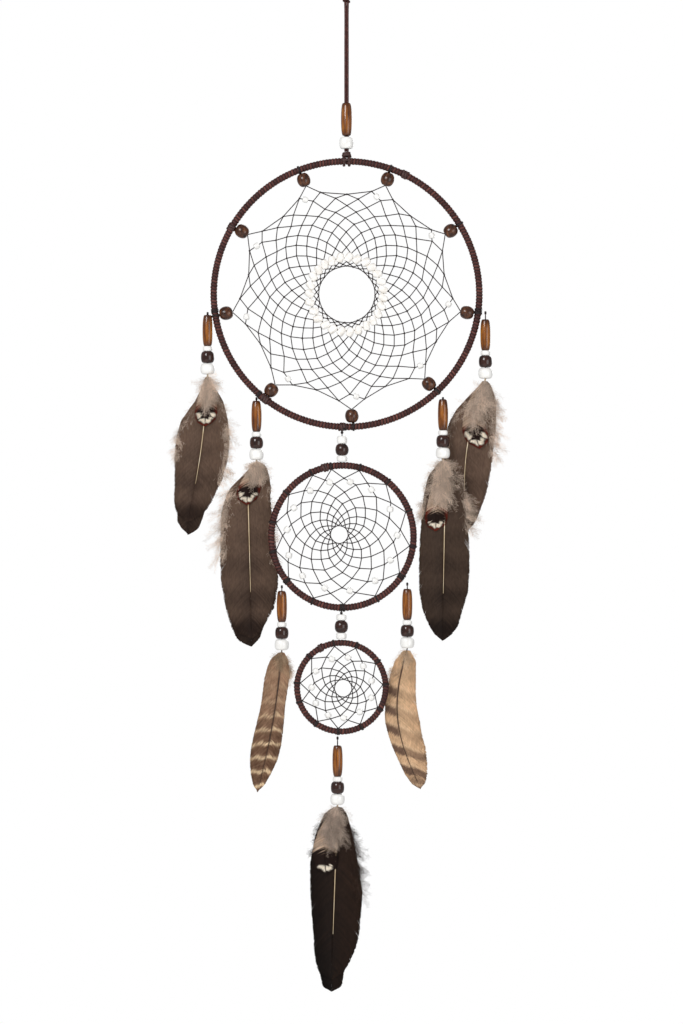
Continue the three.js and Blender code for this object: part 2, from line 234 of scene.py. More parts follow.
def shader(name, roughness, **sockets):
    # a new material with its node tree and its surface; further sockets are set by their names
    material = bpy.data.materials.new(name)
    material.use_nodes = True
    surface = material.node_tree.nodes["Principled BSDF"]
    surface.inputs["Roughness"].default_value = roughness
    for key, value in sockets.items():
        surface.inputs[key.replace("_", " ")].default_value = value
    return material, material.node_tree, surface


def noise(tree, vector, scale, detail=4.0, stretch=(1, 1, 1)):
    mapping = tree.nodes.new("ShaderNodeMapping")
    mapping.inputs["Scale"].default_value = stretch
    tree.links.new(vector, mapping.inputs["Vector"])
    texture = tree.nodes.new("ShaderNodeTexNoise")
    texture.inputs["Scale"].default_value = scale
    texture.inputs["Detail"].default_value = detail
    tree.links.new(mapping.outputs[0], texture.inputs["Vector"])
    return texture.outputs["Fac"]


def ramp(tree, factor, stops):
    # stops: places from 0 to 1, each with its colour
    node = tree.nodes.new("ShaderNodeValToRGB")
    points = node.color_ramp.elements
    while len(points) < len(stops):
        points.new(0.5)
    for point, (place, colour) in zip(points, stops):
        point.position, point.color = place, (*colour, 1)
    tree.links.new(factor, node.inputs[0])
    return node.outputs[0]


def multiply(tree, share, a, b):
    # colour a times colour b, by the given share
    node = tree.nodes.new("ShaderNodeMix")
    node.data_type, node.blend_type = "RGBA", "MULTIPLY"
    node.inputs[0].default_value = share
    tree.links.new(a, node.inputs[6])
    tree.links.new(b, node.inputs[7])
    return node.outputs[2]


def varyGloss(tree, surface, factor, least, most):
    gloss = tree.nodes.new("ShaderNodeMapRange")
    gloss.inputs["To Min"].default_value = least
    gloss.inputs["To Max"].default_value = most
    tree.links.new(factor, gloss.inputs["Value"])
    tree.links.new(gloss.outputs[0], surface.inputs["Roughness"])


def addBump(tree, surface, height, strength, distance):
    bump = tree.nodes.new("ShaderNodeBump")
    bump.inputs["Strength"].default_value = strength
    bump.inputs["Distance"].default_value = distance
    tree.links.new(height, bump.inputs["Height"])
    tree.links.new(bump.outputs[0], surface.inputs["Normal"])


def objectCoordinates(tree):
    return tree.nodes.new("ShaderNodeTexCoord").outputs["Object"]


def attribute(tree, name, output="Fac"):
    node = tree.nodes.new("ShaderNodeAttribute")
    node.attribute_name = name
    return node.outputs[output]


def srgb(r, g, b):
    # screen values 0-255 as linear light
    c = np.array([r, g, b]) / 255
    return tuple(np.where(c <= 0.04045, c / 12.92, ((c + 0.055) / 1.055) ** 2.4))


def grainMaterial(name, s):
    # streaks of three tones along the stretched axis, with fine pores and a gloss that varies with them
    material, tree, surface = shader(name, s["roughness"], Coat_Weight=s["coat"], Coat_Roughness=0.12,
                                     Specular_IOR_Level=s["specular"])
    where = objectCoordinates(tree)
    broad = noise(tree, where, s["scale"], 5, s["stretch"])
    fine = noise(tree, where, s["scale"] * 6, 6, s["stretch"])
    tone = ramp(tree, broad, [(place, srgb(*c)) for place, c in zip((0.3, 0.5, 0.72), s["tones"])])
    pores = ramp(tree, fine, [(0.35, (0.55, 0.55, 0.55)), (0.55, (1, 1, 1))])
    tree.links.new(multiply(tree, 0.7, tone, pores), surface.inputs["Base Color"])
    varyGloss(tree, surface, fine, s["roughness"] * 1.35, s["roughness"] * 0.75)
    addBump(tree, surface, fine, s["bump"], 0.0002)
    return material


def darkenEnds(material):
    # the colour is lifted a little at a bead's middle as a painted highlight, and falls off towards its ends
    # as the "ends" attribute nears 1
    tree = material.node_tree
    surface = tree.nodes["Principled BSDF"]
    colour = surface.inputs["Base Color"].links[0].from_socket
    highlightAndEnds = ramp(tree, attribute(tree, "ends"), [
        (0.0, (1.15, 1.12, 1.05)), (0.55, (1, 1, 1)), (0.85, (0.5, 0.42, 0.36)), (1.0, (0.22, 0.16, 0.13))])
    tree.links.new(multiply(tree, 1.0, colour, highlightAndEnds), surface.inputs["Base Color"])


def laceMaterial():
    # suede lace: painted shade in the grooves between turns and a painted highlight on the crests, with a
    # short nap
    material, tree, surface = shader("suedeLace", 0.5, Specular_IOR_Level=0.25)
    where = objectCoordinates(tree)
    nap, blotch = noise(tree, where, 2600, 5), noise(tree, where, 190, 4)
    # crest runs from 0 in a groove to 1 on a crest: painted shade low, painted highlight high
    crest = ramp(tree, attribute(tree, "crest"), [
        (0.0, srgb(18, 7, 7)), (0.4, srgb(50, 23, 21)), (0.8, srgb(74, 37, 33)), (1.0, srgb(112, 66, 57))])
    worn = ramp(tree, blotch, [(0.3, (0.62, 0.6, 0.6)), (0.7, (1.12, 1.08, 1.05))])
    colour = multiply(tree, 0.8, crest, worn)
    speck = ramp(tree, nap, [(0.35, (0.72, 0.7, 0.7)), (0.62, (1.1, 1.1, 1.1))])
    tree.links.new(multiply(tree, 0.6, colour, speck), surface.inputs["Base Color"])
    addBump(tree, surface, nap, 0.45, 0.0003)
    return material


def threadMaterial():
    # waxed thread: two plies seen as fine slanting light and dark bands
    material, tree, surface = shader("waxedThread", 0.55, Specular_IOR_Level=0.35)
    where = objectCoordinates(tree)
    wave = tree.nodes.new("ShaderNodeTexWave")
    wave.bands_direction = "DIAGONAL"
    wave.inputs["Scale"].default_value = 520
    wave.inputs["Distortion"].default_value = 1.5
    tree.links.new(where, wave.inputs["Vector"])
    tone = ramp(tree, wave.outputs["Fac"], [(0.2, srgb(20, 14, 14)), (0.8, srgb(50, 38, 37))])
    tree.links.new(tone, surface.inputs["Base Color"])
    addBump(tree, surface, wave.outputs["Fac"], 0.5, 0.0002)
    return material


def glazedMaterial(name, s):
    # glazed bead: nearly even colour with cloudy depth, tiny pits, and a clear coat
    material, tree, surface = shader(name, s["roughness"], Coat_Weight=s["coat"], Coat_Roughness=0.06,
                                     Specular_IOR_Level=s["specular"])
    where = objectCoordinates(tree)
    cloud, pits = noise(tree, where, 260, 4), noise(tree, where, 2400, 3)
    colour = ramp(tree, cloud, [(0.3, s["shade"]), (0.6, s["body"])])
    tree.links.new(colour, surface.inputs["Base Color"])
    varyGloss(tree, surface, pits, s["roughness"] * 0.8, s["roughness"] * 1.8)
    addBump(tree, surface, cloud, 0.12, 0.0003)
    return material


def featherMaterial():
    # colour comes from the barbs' own tint; fine streaks and a soft sheen give it the look of vane
    material, tree, surface = shader("featherVane", 0.55, Specular_IOR_Level=0.12)
    where = objectCoordinates(tree)
    streak, blotch = noise(tree, where, 900, 5, (1, 1, 0.35)), noise(tree, where, 90, 4)
    tint = attribute(tree, "tint", "Color")
    lines = ramp(tree, streak, [(0.3, (0.7, 0.68, 0.66)), (0.65, (1.15, 1.13, 1.1))])
    patch = ramp(tree, blotch, [(0.35, (0.82, 0.8, 0.78)), (0.65, (1.1, 1.08, 1.06))])
    colour = multiply(tree, 0.7, tint, lines)
    tree.links.new(multiply(tree, 0.7, colour, patch), surface.inputs["Base Color"])
    addBump(tree, surface, streak, 0.3, 0.0002)
    return material


def steelMaterial():
    # drawn wire with fine even scratches
    material, tree, surface = shader("hoopWire", 0.35, Metallic=1.0)
    brushed = noise(tree, objectCoordinates(tree), 1400, 3)
    tree.links.new(ramp(tree, brushed, [(0.3, (0.32, 0.32, 0.31)), (0.7, (0.6, 0.6, 0.58))]),
              surface.inputs["Base Color"])
    addBump(tree, surface, brushed, 0.2, 0.0001)
    return material


# tones run from the grooves to the crests of the grain; stretch makes it long or short each way
grains = {
    "amberWood": {"tones": [(70, 32, 6), (132, 74, 16), (172, 108, 34)], "roughness": 0.2, "coat": 0.35,
                  "scale": 420, "stretch": (1.5, 1.5, 0.16), "bump": 0.2, "specular": 0.35},
    "bronzeWood": {"tones": [(30, 14, 6), (72, 38, 19), (118, 72, 40)], "roughness": 0.2, "coat": 0.2,
                   "scale": 520, "stretch": (1, 1, 0.35), "bump": 0.25, "specular": 0.35},
    "quillHorn": {"tones": [(176, 146, 110), (214, 190, 152), (238, 222, 194)], "roughness": 0.4, "coat": 0,
                  "scale": 900, "stretch": (1, 1, 0.1), "bump": 0.1, "specular": 0.5},
    "darkLace": {"tones": [(38, 20, 18), (66, 38, 34), (92, 58, 52)], "roughness": 0.6, "coat": 0,
                 "scale": 900, "stretch": (1, 1, 1), "bump": 0.4, "specular": 0.5},
    "darkQuill": {"tones": [(38, 22, 16), (64, 40, 28), (92, 62, 44)], "roughness": 0.4, "coat": 0,
                  "scale": 900, "stretch": (1, 1, 0.1), "bump": 0.1, "specular": 0.5},
}
glazes = {
    "whiteGlaze": {"body": (0.92, 0.91, 0.88), "shade": (0.82, 0.8, 0.77), "roughness": 0.22,
                   "coat": 0.6, "specular": 0.5},
    "creamGlaze": {"body": srgb(251, 248, 244), "shade": srgb(232, 226, 217), "roughness": 0.2,
                   "coat": 0.6, "specular": 0.5},
    "darkGlaze": {"body": srgb(54, 26, 17), "shade": srgb(28, 11, 6), "roughness": 0.12,
                  "coat": 0.25, "specular": 0.35},
}

makeStage(stageSettings)
lace, thread, vane, wire = laceMaterial(), threadMaterial(), featherMaterial(), steelMaterial()
amberWood, bronzeWood, quillHorn, darkLace, darkQuill = (grainMaterial(*g) for g in grains.items())
whiteGlaze, creamGlaze, darkGlaze = (glazedMaterial(*g) for g in glazes.items())
darkenEnds(amberWood)
print("materials made")


# places taken from the frame

def span(node):
    # centre and half size, each way, of a part of the frame, in metres
    low, high = (np.array(c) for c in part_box(node))
    return (low + high) / 2, (high - low) / 2


def hoopFrame(name):
    centre, half = span(name + "_wrap")
    tube = half[1]
    return {"name": name, "centre": centre * [1, 0, 1], "tube": tube, "radius": half[2] - tube}


bigHoop, middleHoop, smallHoop = (hoopFrame(n) for n in ("big_hoop", "middle_hoop", "small_hoop"))


def onPlane(centre, radius, degrees, y=0.0):
    # points in the plane of the hoops, by radius and angle from +X towards +Z
    a = np.radians(degrees)
    radius, a, y = np.broadcast_arrays(radius, a, y)
    return np.stack([centre[0] + radius * np.cos(a), y, centre[2] + radius * np.sin(a)], -1)


def roundOf(a):
    # the outward direction at each angle round the Z axis
    return np.stack([np.cos(a), np.sin(a), 0 * a], -1)


def nodeBead(name, node, body, material, slot, roundness, endShare, bore=0.8, steps=16, sides=36):
    # a turned bead that fills the place of its part in the frame
    centre, half = span(node)
    radius = half[1] / mm
    profile = beadProfile(2 * half[2] / mm, radius, radius * endShare, bore, roundness, steps)
    ends = np.repeat(np.abs(profile[:, 1]) / half[2], sides)
    return makePiece(name, turnBeads(profile, centre, (0, 0, 1), sides), body, material, node,
                     closed=True, extra={"ends": ends})


# hanging cord

cordSettings = {
    "radius": 0.7 * mm, "flat": (1.24, 0.83), "spacing": 0.8 * mm, "stagger": 0.27 * mm,
    "knotTop": -166.2 * mm,
    "loop": [(-1.5, -50), (-3.6, -38), (-5.2, -24), (-4.6, -9), (-2.5, -2.2), (0, -0.7),
             (2.5, -2.2), (4.6, -9), (5.2, -24), (3.6, -38), (1.5, -50)],
    "legs": [-150, -120, -90, -62], "steps": 420, "sides": 12,
    # the knot that closes the loop, in mm
    "knot": {"turns": 2.4, "reach": 2.1, "low": -56.2, "rise": 5.2, "lace": (0.95 * mm, 0.6 * mm)},
    # each bead on the legs: node, material, roundness of its belly, slot
    "beads": {"hangerBarrel": ("hanger_barrel_bead", amberWood, 2.2, "barrel_wood"),
              "hangerWhite": ("hanger_white_bead", whiteGlaze, 2.3, "white_bead")},
}


def smoothCurve(points, count):
    # a Catmull-Rom curve through the points, stepped evenly along its length
    p = np.asarray(points, float)
    p = np.concatenate([[2 * p[0] - p[1]], p, [2 * p[-1] - p[-2]]])
    t = np.linspace(0, 1, 60, endpoint=False)[:, None, None]
    a, b, c, d = p[:-3][None], p[1:-2][None], p[2:-1][None], p[3:][None]
    curve = 0.5 * (2 * b + (c - a) * t + (2 * a - 5 * b + 4 * c - d) * t ** 2
                   + (3 * b - a - 3 * c + d) * t ** 3)
    line = np.concatenate([curve.transpose(1, 0, 2).reshape(-1, p.shape[1]), p[-2][None]])
    far = np.concatenate([[0], np.cumsum(np.linalg.norm(np.diff(line, axis=0), axis=1))])
    even = np.linspace(0, far[-1], count)
    return np.stack([np.interp(even, far, line[:, i]) for i in range(p.shape[1])], -1), far[-1]


def makeHanger(s):
    # the legs lie side by side, one a little in front of the other, so that no light shows between
    gap, top, step = s["spacing"], s["knotTop"], s["stagger"]
    legs = [(-gap, 0, top)] + [(-gap, step, z * mm) for z in s["legs"]]
    loop = [(x * mm, 0, z * mm) for x, z in s["loop"]]
    route = legs + loop + [(-x, -y, z) for x, y, z in legs[::-1]]
    path, length = smoothCurve(route, s["steps"])
    # the lace is slightly flat, and its flat side wanders a little as it runs
    along = np.arange(s["steps"])
    turn = 0.15 * np.sin(along / 23)
    normal = np.stack([0 * turn, -np.cos(turn), 0 * turn], -1) + np.sin(turn)[:, None] * [1, 0, 0]
    shape = sweep(path, normal, s["radius"] * s["flat"][0], s["radius"] * s["flat"][1], s["sides"])
    along, around = along[:, None], np.arange(s["sides"])
    # crest: a slanting wave along the lace, which the lace material paints as lighter and darker bands of
    # its painted shade and highlight
    crest = 0.72 + 0.2 * np.sin(along * 0.9 + around * 1.3) * np.sin(along * 0.13)
    cord = makePiece("hangingLace", shape, "hanger", lace, "hanging_cord", extra={"crest": crest})
    [nodeBead(name, node, "hanger", material, slot, roundness, 0.66, 1.75, 12, 28)
                         for name, (node, material, roundness, slot) in s["beads"].items()]
    # two and a bit turns of lace round both legs
    k, t = s["knot"], np.linspace(0, 1, 90)
    a = tau * k["turns"] * t
    reach = (k["reach"] + 0.25 * np.sin(a * 0.5)) * mm
    turns = np.stack([reach * np.cos(a), reach * np.sin(a), (k["low"] + k["rise"] * t) * mm], -1)
    knot = sweep(turns, roundOf(a), *k["lace"], 10)
    makePiece("loopKnot", knot, "hanger", lace, (), extra={"crest": np.full((90, 10), 0.6)})


makeHanger(cordSettings)
print("cord hung")


def torusPoint(hoop, a, b, reach):
    # a point round the hoop at angle a, and round its section at angle b, at distance reach
    r = hoop["radius"] + reach * np.cos(b)
    return np.stack([hoop["centre"][0] + r * np.cos(a), reach * np.sin(b) + 0 * a,
                     hoop["centre"][2] + r * np.sin(a)], -1)


def roundTube(hoop, degrees, turns, width, reach, thick, halfWidth, phase=0.0, steps=16):
    # a strand wound round the hoop's tube: a and b both grow evenly, and N points away from the tube
    t = np.linspace(0, 1, int(turns * steps) + 1)
    a = np.radians(degrees) + (t - 0.5) * width / hoop["radius"]
    b = phase + tau * turns * t
    path = torusPoint(hoop, a, b, reach)
    away = path - torusPoint(hoop, a, b, 0 * b)
    return sweep(path, away, halfWidth, thick, 8)


# lace: half its width and half its thickness
hitchSettings = {
    "turns": {"count": 1.06, "proud": 0.75 * mm, "apart": 1.9 * mm, "lace": (1.05 * mm, 0.75 * mm)},
    "bar": {"half": 2.8 * mm, "lace": (0.95 * mm, 0.6 * mm)},
    "neck": {"apart": 0.82 * mm, "bulge": 0.15 * mm, "forward": 1.2 * mm, "lace": (0.85 * mm, 0.62 * mm)},
    "coil": {"count": 2.2, "low": 1.0 * mm, "rise": 2.8 * mm, "reach": (3.0 * mm, 2.3 * mm),
             "lace": (1.0 * mm, 0.7 * mm)},
}


def makeHitch(hoop, s):
    # cow hitch: two turns of lace round the hoop, a bar over them in front, the legs' neck above and
    # a coil round the neck
    turns, bar, neck, coil = s["turns"], s["bar"], s["neck"], s["coil"]
    reach = hoop["tube"] + turns["proud"]
    width, thick = turns["lace"]
    loops = [roundTube(hoop, 90, turns["count"], 0.4 * mm, reach, thick, width, 0.3 + late, 26)
             + np.array([side * turns["apart"], 0, 0]) for late, side in ((0, -1), (0.2, 1))]
    top = hoop["centre"][2] + hoop["radius"]
    u = np.linspace(-1, 1, 20)
    over = np.stack([u * bar["half"], -(reach + (0.95 - 0.9 * u ** 4) * mm),
                     top + (0.8 - 0.7 * u ** 2) * mm], -1)
    rise = np.linspace(0, 1, 18)
    low = top + reach - 0.4 * mm
    height = cordSettings["knotTop"] - top - reach
    necks = [np.stack([side * (neck["apart"] + neck["bulge"] * np.sin(rise * np.pi)),
                       neck["forward"] * (rise - 1), low + rise * height], -1) for side in (-1, 1)]
    a = tau * np.linspace(0, coil["count"], 80)
    wound = roundOf(a) * np.linspace(*coil["reach"], 80)[:, None]
    wound = wound + np.array([0, -0.2 * mm, top + hoop["tube"] + coil["low"]])
    wound[:, 2] += np.linspace(0, coil["rise"], 80)
    shapes = loops + [sweep(over, (0, -1, 0), *bar["lace"], 10)]
    shapes += [sweep(n, (0, -1, 0), *neck["lace"], 10) for n in necks]
    shapes.append(sweep(wound, roundOf(a), *coil["lace"], 10))
    makeJoined("cowHitch", openRows(shapes), "hanger_knot", darkLace, "hanger_knot")


# wound hoops

wrapSettings = {"pitch": 2.35 * mm, "ridge": 0.42 * mm, "overlap": 0.1 * mm, "perTurn": 9, "sides": 20}
# splices: angle round the hoop in degrees, and number of turns
spliceSettings = {
    "pitch": 1.9 * mm, "proud": 0.35 * mm, "lace": (0.95 * mm, 0.42 * mm),
    "big_hoop": [(64, 2.2), (150, 2.2), (232, 3.6), (268, 1.8)],
    "middle_hoop": [(104, 2.2)],
    "small_hoop": [(118, 1.6)],
}


def makeWrap(hoop, s, seed):
    # lace wound round a ring: section radius = tube - ridge + ridge*(1-|2f-1|^2.6), where f is the
    # share of a turn; f runs with a and b together, so the ridges slant like a real winding
    turns = int(round(tau * hoop["radius"] / s["pitch"]))
    rows, cols = turns * s["perTurn"], s["sides"]
    a = np.arange(rows)[:, None] * tau / rows
    b = np.arange(cols)[None] * tau / cols
    rng = np.random.default_rng(seed)
    wander = sum(rng.uniform(-0.5, 0.5) / k * np.sin(k * a * 5 + rng.uniform(0, tau)) for k in range(1, 9))
    wound = turns * a / tau + b / tau + 0.35 * wander
    f = wound % 1
    which = np.floor(wound).astype(int) % turns
    each = rng.uniform(-0.07, 0.07, turns)[which] * mm
    ridge = 1 - np.abs(2 * f - 1) ** 2.6
    reach = hoop["tube"] - s["ridge"] + s["ridge"] * ridge + s["overlap"] * f + each * ridge
    shape = torusPoint(hoop, a + 0 * b, b + 0 * a, reach)
    # crest: 0 in the grooves and near 1 on the ridges, for the lace material's painted shade and painted
    # highlight
    crest = ridge * (0.75 + 0.25 * rng.uniform(0, 1, turns)[which])
    node = hoop["name"] + "_wrap"
    mesh = bpy.data.meshes.new(node)
    index = np.arange(rows * cols).reshape(rows, cols)
    up, over = np.roll(index, -1, 0), np.roll(index, -1, 1)
    both = np.roll(up, -1, 1)
    mesh.from_pydata(shape.reshape(-1, 3), [], np.stack([index, over, both, up], -1).reshape(-1, 4).tolist())
    finishPiece(hoop["name"] + "Winding", mesh, hoop["name"], lace, node, extra={"crest": crest})
    # the wire ring inside stays as it is, with its own material
    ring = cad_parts[hoop["name"] + "_core"].data
    ring.materials.clear()
    ring.materials.append(wire)


def makeSplices(hoop, s):
    # where one length of lace ends and the next is bound on: a few proud turns and a tucked end
    width, thick = s["lace"]
    turns = [roundTube(hoop, degrees, count, count * s["pitch"], hoop["tube"] + s["proud"], thick, width)
             for degrees, count in s[hoop["name"]]]
    makeJoined(hoop["name"] + "Splices", openRows(turns), hoop["name"], darkLace, ())


makeHitch(bigHoop, hitchSettings)
for hoop, seed in ((bigHoop, 3), (middleHoop, 5), (smallHoop, 7)):
    makeWrap(hoop, wrapSettings, seed)
for hoop in (bigHoop, middleHoop, smallHoop):
    makeSplices(hoop, spliceSettings)
print("hoops wound")


# nets

# eye: its place from the hoop's centre; rows: each row's distance from the centre, inwards, in mm;
# ties: where the net is tied to its hoop, in degrees
netSettings = {
    "thread": 0.4 * mm, "knot": 0.72 * mm,
    "big": {
        # nine wooden beads carry 27 knots a row; hole and run: the bores' place and length
        "eye": (0.2, -0.4), "count": 27, "hole": 4.7 * mm, "run": 9.6 * mm,
        "uneven": {0: [77.8, 73.7, 77.8], 1: [73.2, 70.6, 70.6]},
        "rows": [75.6, 71.4, 64.9, 60.4, 56.2, 51.4, 46.2, 40.4, 34.9, 30.4, 24.2, 22.4, 20.8],
    },
    "middle": {
        "eye": (-2.6, 1.6), "rows": [43.3, 38.2, 32.7, 27.5, 22.8, 18.4, 14.3, 11, 8.4, 6.6],
        "ties": [-167.7, -142.3, -114.9, -88.8, -61.1, -32.7, -8, 21.1, 50, 75.6, 99.2, 115.9, 142, 168.5],
    },
    "small": {
        "eye": (1.7, -0.9), "rows": [24.6, 20.6, 16.1, 12.8, 10.3, 8.1, 6.6],
        "ties": [-160.8, -124.6, -94.6, -63.3, -29.7, 3.6, 34.8, 70, 99.8, 136.1, 174.3],
    },
}


def knotRing(hoop, eye, angles, radius):
    # knots of one row; the rows' centre moves from the hoop's centre to the eye as they tighten
    share = 1 - np.clip(np.mean(radius) * mm / hoop["radius"], 0, 1)
    centre = hoop["centre"] + np.array([eye[0], 0, eye[1]]) * mm * share
    return onPlane(centre, np.asarray(radius) * mm, angles)


def strands(fromPoints, toPoints, bow=0.0):
    # threads between knots; each bows to the back or front like a parabola, 4t(1 - t)
    t = np.linspace(0, 1, 5)[None, :, None]
    path = fromPoints[:, None] * (1 - t) + toPoints[:, None] * t
    path[..., 1] += bow * 4 * (t * (1 - t))[..., 0]
    return path


def netRows(rings, steps):
    # each knot is joined to the two nearest knots of the next row in
    paths = []
    for outer, inner, step in zip(rings[:-1], rings[1:], steps):
        shift = np.roll(inner, step, 0)
        paths += [strands(outer, inner, 0.12 * mm), strands(outer, shift, -0.12 * mm)]
    return np.concatenate(paths)


def knotSizes(rng, knots, s, share=1.0):
    # knots vary a little in size and are flatter from front to back
    ball = np.array([s["knot"], s["knot"] * 0.8, s["knot"]])
    return rng.uniform(0.8, 1.15, (len(knots), 1)) * ball * share


def makeBigNet(hoop, net, s):
    # a net that hangs on nine wooden beads, three knots of each row to a bead
    count, yarn = net["count"], (s["thread"], s["thread"])
    rng = np.random.default_rng(11)
    wood = np.array([span(f"wood_bead_{k + 1}")[0] for k in range(9)]) * [1, 0, 1]
    away = wood - hoop["centre"]
    turned = np.degrees(np.unwrap(np.arctan2(away[:, 2], away[:, 0])))
    turned = np.append(turned, turned[0] + 360)
    rings = []
    for row, radius in enumerate(net["rows"]):
        angles = np.interp(np.arange(count) + (0.5 if row % 2 == 0 else 0), np.arange(10) * 3, turned)
        reach = np.array(net["uneven"].get(row, [radius] * 3))[np.arange(count) % 3]
        wobble = rng.uniform(-1, 1, (2, count)) * np.clip(radius / 75, 0.15, 1)
        rings.append(knotRing(hoop, net["eye"], angles + wobble[0] * 0.8, reach + wobble[1] * 0.7))
    # a half-pitch ring joins its neighbour inwards either at the same index or one further on
    steps = [-1 if row % 2 == 0 else 1 for row in range(len(rings) - 1)]
    paths = [netRows(rings, steps)]
    hole = wood - unit(away) * net["hole"]
    near = np.arange(9) * 3
    paths += [strands(hole, rings[0][near], 0.1 * mm),
              strands(hole, rings[0][(near - 1) % count], -0.1 * mm)]
    paths += [strands(rings[0][near], rings[0][near + 1]), strands(rings[0][near + 1], rings[0][near + 2])]
    paths.append(strands(rings[-1], np.roll(rings[-1], 1, 0)))
    knots = np.concatenate(rings)
    shapes = [sweep(np.concatenate(paths), (0, 1, 0), *yarn, 6), blobs(knots, knotSizes(rng, knots, s))]
    # the thread that ties each wood bead on: a run through the bore and a turn round the hoop
    outside = hole + unit(hole - hoop["centre"]) * net["run"]
    shapes.append(sweep(strands(hole, outside), (0, 1, 0), *yarn, 6))
    shapes += [roundTube(hoop, a + 0.5, 2.2, 1.5 * mm, hoop["tube"] + 0.3 * mm, *yarn, np.pi)
               for a in turned[:9]]
    makeJoined("bigNet", openRows(shapes), hoop["name"], thread, "big_web")
    return rings, wood


def beadsOn(name, fromPoints, toPoints, size, hoop, material, node=(), seed=1):
    # small beads threaded on strands, each along its strand and near its middle
    rng = np.random.default_rng(seed)
    share = 0.5 + rng.uniform(-0.08, 0.08, len(fromPoints))[:, None]
    centres = fromPoints * (1 - share) + toPoints * share
    along = toPoints - fromPoints + rng.normal(0, 0.25 * mm, fromPoints.shape) * [0, 1, 0]
    length, radius = size
    profile = beadProfile(length, radius, radius * 0.62, 0.42, 2.3, 9)
    makePiece(name, turnBeads(profile, centres, along, 18), hoop["name"], material, node, True)


def makeTiedNet(hoop, net, s, name, seed):
    # a net tied straight to its hoop at uneven points, drawn in row by row towards the eye; each
    # row's knots lie midway between those of the row before
    rng = np.random.default_rng(seed)
    ties = np.array(net["ties"], float)
    count = len(ties)
    rings = [knotRing(hoop, net["eye"], ties, np.full(count, (hoop["radius"] - hoop["tube"]) / mm + 0.2))]
    angles = ties
    for row, radius in enumerate(net["rows"]):
        following = np.roll(angles, -1) + np.where(np.arange(count) == count - 1, 360, 0)
        middle = (angles + following) / 2
        angles = middle if row % 2 == 0 else np.roll(middle, 1) - np.where(np.arange(count) == 0, 360, 0)
        wobble = rng.uniform(-1, 1, (2, count)) * np.clip(radius / 40, 0.12, 1)
        rings.append(knotRing(hoop, net["eye"], angles + wobble[0] * 1.5, radius + wobble[1] * 0.8))
    steps = [1 if row % 2 == 0 else -1 for row in range(len(rings) - 1)]
    paths = np.concatenate([netRows(rings, steps), strands(rings[-1], np.roll(rings[-1], 1, 0))])
    knots, yarn = np.concatenate(rings[1:]), s["thread"] * 1.05
    shapes = [sweep(paths, (0, 1, 0), yarn, yarn, 6), blobs(knots, knotSizes(rng, knots, s, 0.9))]
    shapes += [roundTube(hoop, a, 1.6, 1.2 * mm, hoop["tube"] + 0.25 * mm, s["thread"], s["thread"], np.pi)
               for a in ties]
    makeJoined(name, openRows(shapes), hoop["name"], thread, name.replace("Net", "_web"))
    return rings


rings, woodCentres = makeBigNet(bigHoop, netSettings["big"], netSettings)
middleRings = makeTiedNet(middleHoop, netSettings["middle"], netSettings, "middleNet", 21)
smallRings = makeTiedNet(smallHoop, netSettings["small"], netSettings, "smallNet", 22)
underBeads = np.arange(9) * 3
# each row of small beads: the knots it lies between, then length and radius in mm
beadsOn("eyeBeads", rings[9], rings[10], (7.0, 2.8), bigHoop, creamGlaze, "eye_bead_ring")
beadsOn("bigNetBeads", rings[0][underBeads], rings[1][underBeads], (4.2, 2.3), bigHoop, whiteGlaze)
beadsOn("middleNetBeads", middleRings[1], middleRings[2], (4.4, 2.5), middleHoop, whiteGlaze, seed=2)
beadsOn("smallNetBeads", smallRings[1], smallRings[2], (4.2, 2.4), smallHoop, whiteGlaze, seed=3)

woodBead = {"length": 9.8, "radius": 5.0, "end": 1.7, "bore": 0.75}
profile = beadProfile(*woodBead.values(), 2.0, 16)
for k, centre in enumerate(woodCentres):
    ball = turnBeads(profile, centre, bigHoop["centre"] - centre)
    makePiece(f"woodBead{k + 1}", ball, "big_hoop", bronzeWood, f"wood_bead_{k + 1}", True)
print("nets knotted and beaded")


# beads and threads of the links and pendants

# tie: the turns of thread round a hoop that carry what hangs below it
stringSettings = {
    "radius": 0.42 * mm, "twists": 5.0,
    "tie": {"turns": 3.1, "proud": 0.12 * mm, "yarn": 0.34 * mm},
}


def hangingThread(x, y, top, bottom, s):
    # two plies twisted round each other, from the tie down through the beads
    t = np.linspace(0, 1, 60)
    a = tau * s["twists"] * t + np.array([[0], [np.pi]])
    off, ply = 0.3 * s["radius"], 0.75 * s["radius"]
    plies = np.stack([x + off * np.cos(a), y + off * np.sin(a), top + (bottom - top) * t + 0 * a], -1)
    return sweep(plies, (0, 1, 0), ply, ply, 8)


def makeTie(name, hoop, degrees, width, s):
    # turns of thread side by side on a hoop's tube, width in mm
    reach = hoop["tube"] + s["proud"]
    winds = roundTube(hoop, degrees, s["turns"], width * mm, reach, s["yarn"], s["yarn"])
    makePiece(name, winds, hoop["name"], thread, ())


def makeKnot(name, centres, radii, rows, sides, body):
    makePiece(name, blobs(centres, np.array(radii) * mm, rows, sides), body, thread, ())


# beads: top and bottom of each, in mm
linkSettings = {
    "upper": {"body": "middle_hoop", "above": bigHoop, "x": -3.3, "top": -371.0,
              "beads": [(-375, -380.6), (-380.7, -389.3), (-389.4, -393.7)]},
    "lower": {"body": "small_hoop", "above": middleHoop, "x": -3.8, "top": -503.7,
              "beads": [(-506, -510.3), (-510.4, -519.4), (-519.5, -524)]},
}
# radius in mm, width of the ends as a share of it, roundness, material, slot
linkBeads = {
    "TopWhite": (3.8, 0.72, 2.6, whiteGlaze, "white_bead"),
    "Dark": (4.9, 0.42, 2.2, darkGlaze, "dark_bead"),
    "LowWhite": (3.9, 0.72, 2.6, whiteGlaze, "white_bead"),
}


